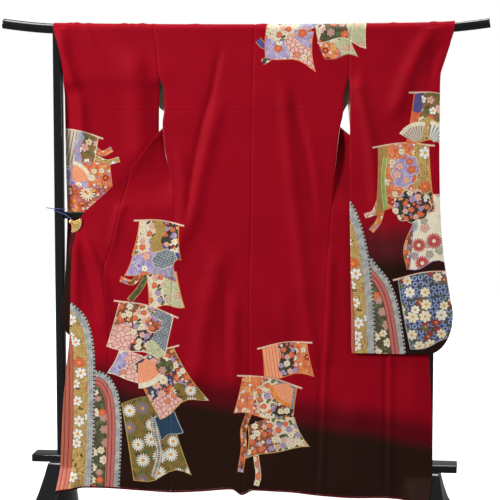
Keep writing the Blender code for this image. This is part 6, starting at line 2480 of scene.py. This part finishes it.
@dataclass
class Stand:
    """Lacquered stand: bar, two posts, rail, plank and two feet."""

    lacquer: bpy.types.Material
    drape: Drape = field(default_factory=Drape)
    round_sides: int = 64
    dome: float = 0.004
    dome_shrink: float = 0.20
    foot_x: float = 0.632
    splay: float = 0.045
    splay_at: float = 0.15
    splay_power: float = 1.6
    top_half: float = 0.036
    base_half: float = 0.052
    edge_round: float = 0.006
    toe_from: float = 0.15
    toe_over: float = 0.035
    toe_slim: float = 0.25
    rim_tall: float = 0.004
    rim_from: float = 0.012
    rim_inset: float = 0.002
    plank_round: float = 0.003
    plank_cut_deep: float = 0.004
    rail_round: float = 0.004
    seat_below: float = 0.1

    def bar(self) -> bpy.types.Object:
        """Round bar, its ends turned up and slightly domed.

        Returns:
            The piece.
        """
        tip = np.linspace(BAR_TIP_FROM, BAR_HALF, 16)
        reach = np.concatenate([np.linspace(0.0, BAR_TIP_FROM, 14), tip[1:]])
        x = np.concatenate([-reach[::-1], reach[1:]])
        slope = (self.drape.bar_z(x + 0.001) - self.drape.bar_z(x - 0.001)) / 0.002
        along = unit(stack(1.0, 0.0, slope))
        up = stack(-along[:, 2], 0.0, along[:, 0])
        angles = math.pi / 2 + 2.0 * math.pi * (np.arange(self.round_sides) + 0.5) / self.round_sides
        behind_bar = np.array((0.0, 1.0, 0.0)) * np.cos(angles)[None, :, None]
        around = up[:, None] * np.sin(angles)[None, :, None] + behind_bar
        rings = stack(x, 0.0, self.drape.bar_z(x))[:, None] + around * BAR_R
        ends = []
        for ring, way in ((rings[0], -1.0), (rings[-1], 1.0)):
            centre = ring.mean(axis=0)
            turns = np.radians((90.0, 60.0, 30.0))
            caps = [centre + (ring - centre) * (1.0 - self.dome_shrink * (1.0 - math.cos(t)))
                    + (way * self.dome * math.sin(t), 0.0, 0.0) for t in turns]
            ends.append(caps if way < 0.0 else caps[::-1])
        return loft("lacquer_bar", np.array([*ends[0], *rings, *ends[1]]), self.lacquer)

    def post(self, side: Side) -> bpy.types.Object:
        """Post with round corners, its top hollowed to carry the bar.

        Args:
            side: Which post.

        Returns:
            The piece.
        """
        x0 = -side.toward * POST_X
        x, y = rounded(POST_WIDE, POST_DEEP, POST_ROUND, between=7).T
        axis = float(self.drape.bar_z(x0)) - BAR_BOW * self.seat_below
        seat = axis - np.sqrt(BAR_R ** 2 - y * y) - GAP
        rings = [stack(x0 + x, y, z) for z in (PLANK_TOP + GAP, BAR_Z - 2.0 * BAR_R, seat)]
        return loft("lacquer_post_" + side.value, np.array(rings), self.lacquer, paired=True)

    def rail(self) -> bpy.types.Object:
        """Middle rail between the posts.

        Returns:
            The piece.
        """
        y, z = rounded(RAIL_DEEP, RAIL_TALL, self.rail_round).T
        rings = [stack(x, y, RAIL_Z + z) for x in (GAP - POST_IN, POST_IN - GAP)]
        return loft("lacquer_rail", np.array(rings), self.lacquer)

    def plank(self) -> bpy.types.Object:
        """Plank that joins the feet, its corners cut and its edges rubbed round.

        Returns:
            The piece.
        """
        outline = []
        for sx, sy in ((1, 1), (1, -1), (-1, -1), (-1, 1)):
            corner = [(sx * PLANK_HALF, sy * (PLANK_DEEP / 2 - self.plank_cut_deep)),
                      (sx * (PLANK_HALF - PLANK_CUT * 0.4), sy * PLANK_DEEP / 2)]
            outline += corner if sx * sy < 0 else corner[::-1]
        x, y = np.array(outline).T
        turns = np.radians(np.linspace(0.0, 90.0, 5))
        levels = [(self.plank_round * (1.0 - math.sin(t)), self.plank_round * (1.0 - math.cos(t)))
                  for t in turns]
        rings = [stack(x - np.sign(x) * inset, y - np.sign(y) * inset, PLANK_TOP - PLANK_THICK + rise)
                 for inset, rise in levels]
        rings += [stack(x - np.sign(x) * inset, y - np.sign(y) * inset, PLANK_TOP - rise)
                  for inset, rise in levels[::-1]]
        return loft("lacquer_plank", np.array(rings), self.lacquer, sharp=60.0)

    def foot(self, side: Side) -> bpy.types.Object:
        """Foot across the plank, splayed outward and sloping to a low toe at both ends.

        Args:
            side: Which foot.

        Returns:
            The piece.
        """
        back = Curve.through(((0.0, FOOT_TOP), *FOOT_BACK))
        flat_to, toe = FOOT_BACK[0][0], FOOT_BACK[-1][0]
        ahead = np.concatenate([np.linspace(0.0, flat_to, 4), np.linspace(flat_to, toe, 30)[1:]])
        turns = np.radians(np.linspace(90.0, 0.0, 6))
        rings = []
        for y in np.concatenate([-ahead[::-1], ahead[1:]]):
            reach = abs(float(y))
            z = float(back(reach))
            centre = self.foot_x + self.splay * (reach / self.splay_at) ** self.splay_power
            edge = min(self.edge_round, z * 0.4)
            slim = 1.0 - self.toe_slim * min(1.0, max(0.0, (reach - self.toe_from) / self.toe_over)) ** 2
            top, base = self.top_half * slim, self.base_half * slim
            half = [(top - edge * (1.0 - math.cos(t)), z - edge * (1.0 - math.sin(t))) for t in turns]
            half += [(base, self.rim_tall * min(1.0, z / self.rim_from)), (base - self.rim_inset, 0.0)]
            across, rise = np.array(half + [(-x, h) for x, h in reversed(half)]).T
            rings.append(stack(-side.toward * (centre + across), float(y), rise))
        return loft("lacquer_foot_" + side.value, np.array(rings), self.lacquer, sharp=50.0, paired=True)

    def build(self) -> list[bpy.types.Object]:
        """Makes the pieces that stand for the plain ones.

        Returns:
            The pieces.
        """
        made = []
        for piece, node in ((self.bar(), "stand_bar"), (self.rail(), "stand_rail"),
                            (self.plank(), "stand_plank"),
                            *((self.post(side), "stand_post_" + side.value) for side in Side),
                            *((self.foot(side), "stand_foot_" + side.value) for side in Side)):
            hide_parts(node)
            made.append(piece)
        return made


@dataclass
class Clip:
    """Fan clip on a front's edge: a pleated leaf on each face of the cloth, joined beyond the edge."""

    side: Side
    brass: bpy.types.Material
    drape: Drape = field(default_factory=Drape)
    height: float = 1.003
    beyond: float = 0.025
    reach: float = 0.037
    root: float = 0.007
    plate: float = 0.0025
    first: float = 20.0
    last: float = -88.0
    pleats: int = 7
    pleat_from: float = 0.10
    pleat_over: float = 0.35
    pleat_low: float = 0.12
    notch: float = 0.035
    band_from: float = 0.84
    band_over: float = 0.03
    band_high: float = 0.70
    collar: float = 0.0032

    @property
    def pivot(self) -> float:
        """Place of the pivot along X."""
        return float(self.drape.edges[self.side.value](self.height)) - self.side.toward * self.beyond

    def leaf(self, name: str, flat: float, way: float) -> bpy.types.Object:
        """One leaf with its pleats.

        Args:
            name: Name of the piece.
            flat: Depth of its flat face, against the cloth.
            way: Direction in which its pleats stand out.

        Returns:
            The piece.
        """
        across = np.linspace(0.0, 1.0, 8 * self.pleats + 1)[None, :]
        out = np.linspace(self.pleat_from, 1.0, 14)[:, None]
        angle = np.radians(mix(self.first, self.last, across))
        wave = np.abs(np.sin(across * self.pleats * math.pi))
        reach = out * self.reach * (1.0 - self.notch * (1.0 - wave) * out ** 6)
        x = self.pivot + self.side.toward * reach * np.cos(angle)
        z = self.height + reach * np.sin(angle)
        band = ease((out - self.band_from) / self.band_over)
        pleat = mix(self.pleat_low, 1.0, wave * ease(out / self.pleat_over))
        lift = self.plate * mix(pleat, self.band_high, band)
        grid = [stack(x, flat + way * lift, z), stack(x, flat, z)]
        rows, cols = grid[0].shape[:2]
        ids = np.arange(rows * cols).reshape(rows, cols)
        faces = []
        for i in range(rows - 1):
            for j in range(cols - 1):
                quad = [ids[i, j], ids[i + 1, j], ids[i + 1, j + 1], ids[i, j + 1]]
                faces += [quad, [v + rows * cols for v in quad[::-1]]]
        rim = [*ids[0, ::-1], *ids[1:, 0], *ids[-1, 1:], *ids[-2:0:-1, -1]]
        faces += [[a, b, b + rows * cols, a + rows * cols] for a, b in zip(rim, rim[1:] + rim[:1])]
        places = np.concatenate([layer.reshape(-1, 3) for layer in grid])
        return solid(name, places, [[int(v) for v in face] for face in faces], self.brass)

    def build(self) -> list[bpy.types.Object]:
        """Makes both leaves and the pivot that joins them.

        Returns:
            The pieces.
        """
        angle = np.radians(np.linspace(self.first, self.last, 9))
        share = np.array((0.6, 0.8, 1.0))[:, None]
        x = self.pivot + self.side.toward * self.reach * np.cos(angle) * share
        held = self.drape.near_y(x, self.height + self.reach * np.sin(angle) * share)
        front, back = float(held.min()) - HALF - GAP, float(held.max()) + HALF + self.collar + GAP
        label = "fan_clip_" + self.side.value
        made = [self.leaf(label + "_front", front, -1.0), self.leaf(label + "_back", back, 1.0)]
        turn = np.linspace(0.0, 2.0 * math.pi, 33)[:-1]
        levels = [(front - out * self.plate, wide) for out, wide in PIVOT_HEAD]
        levels += [(back + out * self.plate, wide) for out, wide in PIVOT_HEAD[::-1]]
        rings = [stack(self.pivot + self.root * wide * np.cos(turn), depth,
                       self.height + self.root * wide * np.sin(turn)) for depth, wide in levels]
        made.append(loft(label + "_pivot", np.array(rings), self.brass))
        for piece in made:
            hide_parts("clip_" + self.side.value)
        return made


@dataclass
class ClipCord:
    """Cord from a clip's root, once round the post above the rail, with a short free end."""

    clip: Clip
    twist: bpy.types.Material
    thick: float = 0.0025
    clear: float = 0.0009

    def marks(self) -> Array:
        """Places that the cord passes: off the clip, round the post's four corners, out beyond it.

        Returns:
            The places.
        """
        way, pivot = self.clip.side.toward, self.clip.pivot
        post, off = -way * POST_X, self.thick / 2 + self.clear
        start = self.clip.height + self.clip.root + self.thick / 2 + 2.0 * GAP
        front = -POST_DEEP / 2 - off
        depth = float(self.clip.drape.near_y(pivot, self.clip.height))
        found = [(pivot, depth, start), (mix(pivot, post, 0.5), front - 0.010, start + 0.015),
                 (post + way * 0.002, front - 0.001, start + 0.022)]
        turn = POST_ROUND + off
        for sx, sy in ((-1, -1), (-1, 1), (1, 1), (1, -1)):
            for part in (0.0, 0.5, 1.0):
                angle = math.pi / 2 * (part if sx * sy < 0 else 1.0 - part)
                found.append((post + way * sx * (POST_WIDE / 2 - POST_ROUND + turn * math.cos(angle)),
                              sy * (POST_DEEP / 2 - POST_ROUND + turn * math.sin(angle)),
                              start + 0.024 + 0.0006 * len(found)))
        free = CORD_FREE[self.clip.side.value]
        found += [(post, front - 0.0004, start + 0.033),
                  (post - way * free * 0.48, front - 0.002, start + 0.034),
                  (post - way * free, front - 0.001, start + 0.037)]
        return np.array(found)

    def build(self) -> bpy.types.Object:
        """Makes the cord.

        Returns:
            The piece.
        """
        line = swept(self.marks(), self.thick)
        data = bpy.data.curves.new("clip_tie_" + self.clip.side.value, "CURVE")
        data.dimensions = "3D"
        data.bevel_depth = self.thick / 2
        data.bevel_resolution = 5
        data.use_fill_caps = True
        spline = data.splines.new("POLY")
        spline.points.add(len(line) - 1)
        for mark, point in zip(spline.points, line):
            mark.co = (*point, 1.0)
        data.materials.append(self.twist)
        thing = placed(data.name, data)
        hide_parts("clip_cord_" + self.clip.side.value)
        return thing


@dataclass
class Studio:
    """Floor, soft lights and camera."""

    eye: tuple[float, float, float] = (0.8036, -6.1674, 1.5685)
    turn: tuple[float, float, float] = (83.955, 0.0, 7.192)
    focal: float = 1839.15
    frame: float = 500.0
    sensor: float = 36.0
    floor_half: float = 6.0
    white: Rgb = (1.0, 1.0, 1.0)
    around: float = 0.17

    def camera(self) -> None:
        """Camera at the picture's place and angle."""
        data = bpy.data.cameras.new("camera")
        data.sensor_width = self.sensor
        data.lens = self.focal / self.frame * self.sensor
        data.clip_end = 60.0
        thing = placed("camera", data)
        thing.location = self.eye
        thing.rotation_euler = tuple(math.radians(angle) for angle in self.turn)
        bpy.context.scene.camera = thing

    def light(self, name: str, place: tuple[float, float, float], aim: tuple[float, float, float],
              size: Mark, power: float) -> None:
        """Adds a soft panel light.

        Args:
            name: Name of the light.
            place: Where it stands.
            aim: What it points at.
            size: Width and height of the panel.
            power: Power in watts.
        """
        data = bpy.data.lights.new(name, "AREA")
        data.shape = "RECTANGLE"
        data.size, data.size_y = size
        data.energy = power
        thing = placed(name, data)
        thing.location = place
        thing.rotation_euler = (Vector(aim) - Vector(place)).to_track_quat("-Z", "Y").to_euler()

    def sky(self, name: str, power: float, spread: float) -> None:
        """Adds wide soft light from straight above, which keeps the floor white.

        Args:
            name: Name of the light.
            power: Its strength.
            spread: How wide it is, in degrees.
        """
        data = bpy.data.lights.new(name, "SUN")
        data.energy = power
        data.angle = math.radians(spread)
        placed(name, data).location = (0.0, 0.0, 4.0)

    def build(self) -> None:
        """Makes the floor, the white surround, the lights and the camera."""
        half = self.floor_half
        data = bpy.data.meshes.new("floor")
        corners = [(-half, -half, 0), (half, -half, 0), (half, half, 0), (-half, half, 0)]
        data.from_pydata(corners, [], [(0, 1, 2, 3)])
        data.materials.append(Plaster().build())
        floor = placed("floor", data)
        floor.visible_diffuse = floor.visible_glossy = False
        world = bpy.data.worlds.new("surround")
        world.use_nodes = True
        background = world.node_tree.nodes["Background"]
        background.inputs["Color"].default_value = (*self.white, 1.0)
        rays = world.node_tree.nodes.new("ShaderNodeLightPath")
        brightness = world.node_tree.nodes.new("ShaderNodeMapRange")
        brightness.inputs["To Min"].default_value = self.around
        world.node_tree.links.new(rays.outputs["Is Camera Ray"], brightness.inputs["Value"])
        world.node_tree.links.new(brightness.outputs["Result"], background.inputs["Strength"])
        bpy.context.scene.world = world
        self.light("key", (-3.6, -2.9, 2.9), (0.0, 0.0, 0.9), (1.5, 1.8), 276.0)
        self.light("fill", (3.6, -3.4, 2.2), (0.0, 0.0, 0.9), (1.8, 2.4), 42.0)
        self.light("back", (0.5, 3.6, 3.8), (0.0, 0.0, 0.6), (3.0, 1.6), 150.0)
        self.sky("above", 3.4, 40.0)
        self.camera()
        bpy.context.scene.view_settings.view_transform = "Standard"


def main() -> None:
    """Builds the furisode on its stand and its studio."""
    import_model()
    silk, lining = Silk().build(), Lining().build()
    sleeve_silk = Silk("sleeve_silk", between=dye(90, 27, 33), deep_at=0.952, deep_slope=0.0,
                       over=0.095).build()
    roll = Silk("roll_silk", dye(112, 14, 22), dye(84, 12, 18), dye(96, 12, 20)).build()
    motifs = {brocade.name: brocade.build() for brocade in BROCADES}
    garment = Garment()
    left, right = design_of(LEFT_SLEEVE_DESIGN), design_of(RIGHT_SLEEVE_DESIGN)
    sleeves = {Side.LEFT: left + behind(right, SLEEVES_MEET),
               Side.RIGHT: right + design_of(SHOULDER) + behind(left, SLEEVES_MEET)}
    made = []
    for side in Side:
        body_paints = Paints(silk, lining, silk, design_of(BODY_DESIGN, SHOULDER), motifs)
        sleeve_paints = Paints(sleeve_silk, lining, sleeve_silk, sleeves[side], motifs)
        body, okumi = garment.body(side, body_paints), garment.okumi(side, body_paints)
        sleeve = garment.sleeve(side, sleeve_paints)
        for name, piece, cut, rest in (("body", body, BODY_CUT, ["lacquer_bar"]),
                                       ("okumi", okumi, OKUMI_CUT, [body]),
                                       ("sleeve", sleeve, SLEEVE_CUT, ["lacquer_bar"])):
            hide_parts(name + "_" + side.value)
            made.append(piece)
    collar = garment.collar(Paints(silk, silk, silk))
    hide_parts("collar")
    hem = garment.hem_roll(roll)
    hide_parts("hem_roll")
    made += [collar, hem]
    made += Stand(Lacquer().build()).build()
    brass, twist = Brass().build(), Twist().build()
    for side in Side:
        clip = Clip(side, brass)
        made += [*clip.build(), ClipCord(clip, twist).build()]
    for piece in made:
        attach(piece, "root")
        LOG.info("%s rides on root", piece.name)
    Studio().build()


if __name__ == "__main__":
    logging.basicConfig(level=logging.INFO, format="%(message)s")
    main()
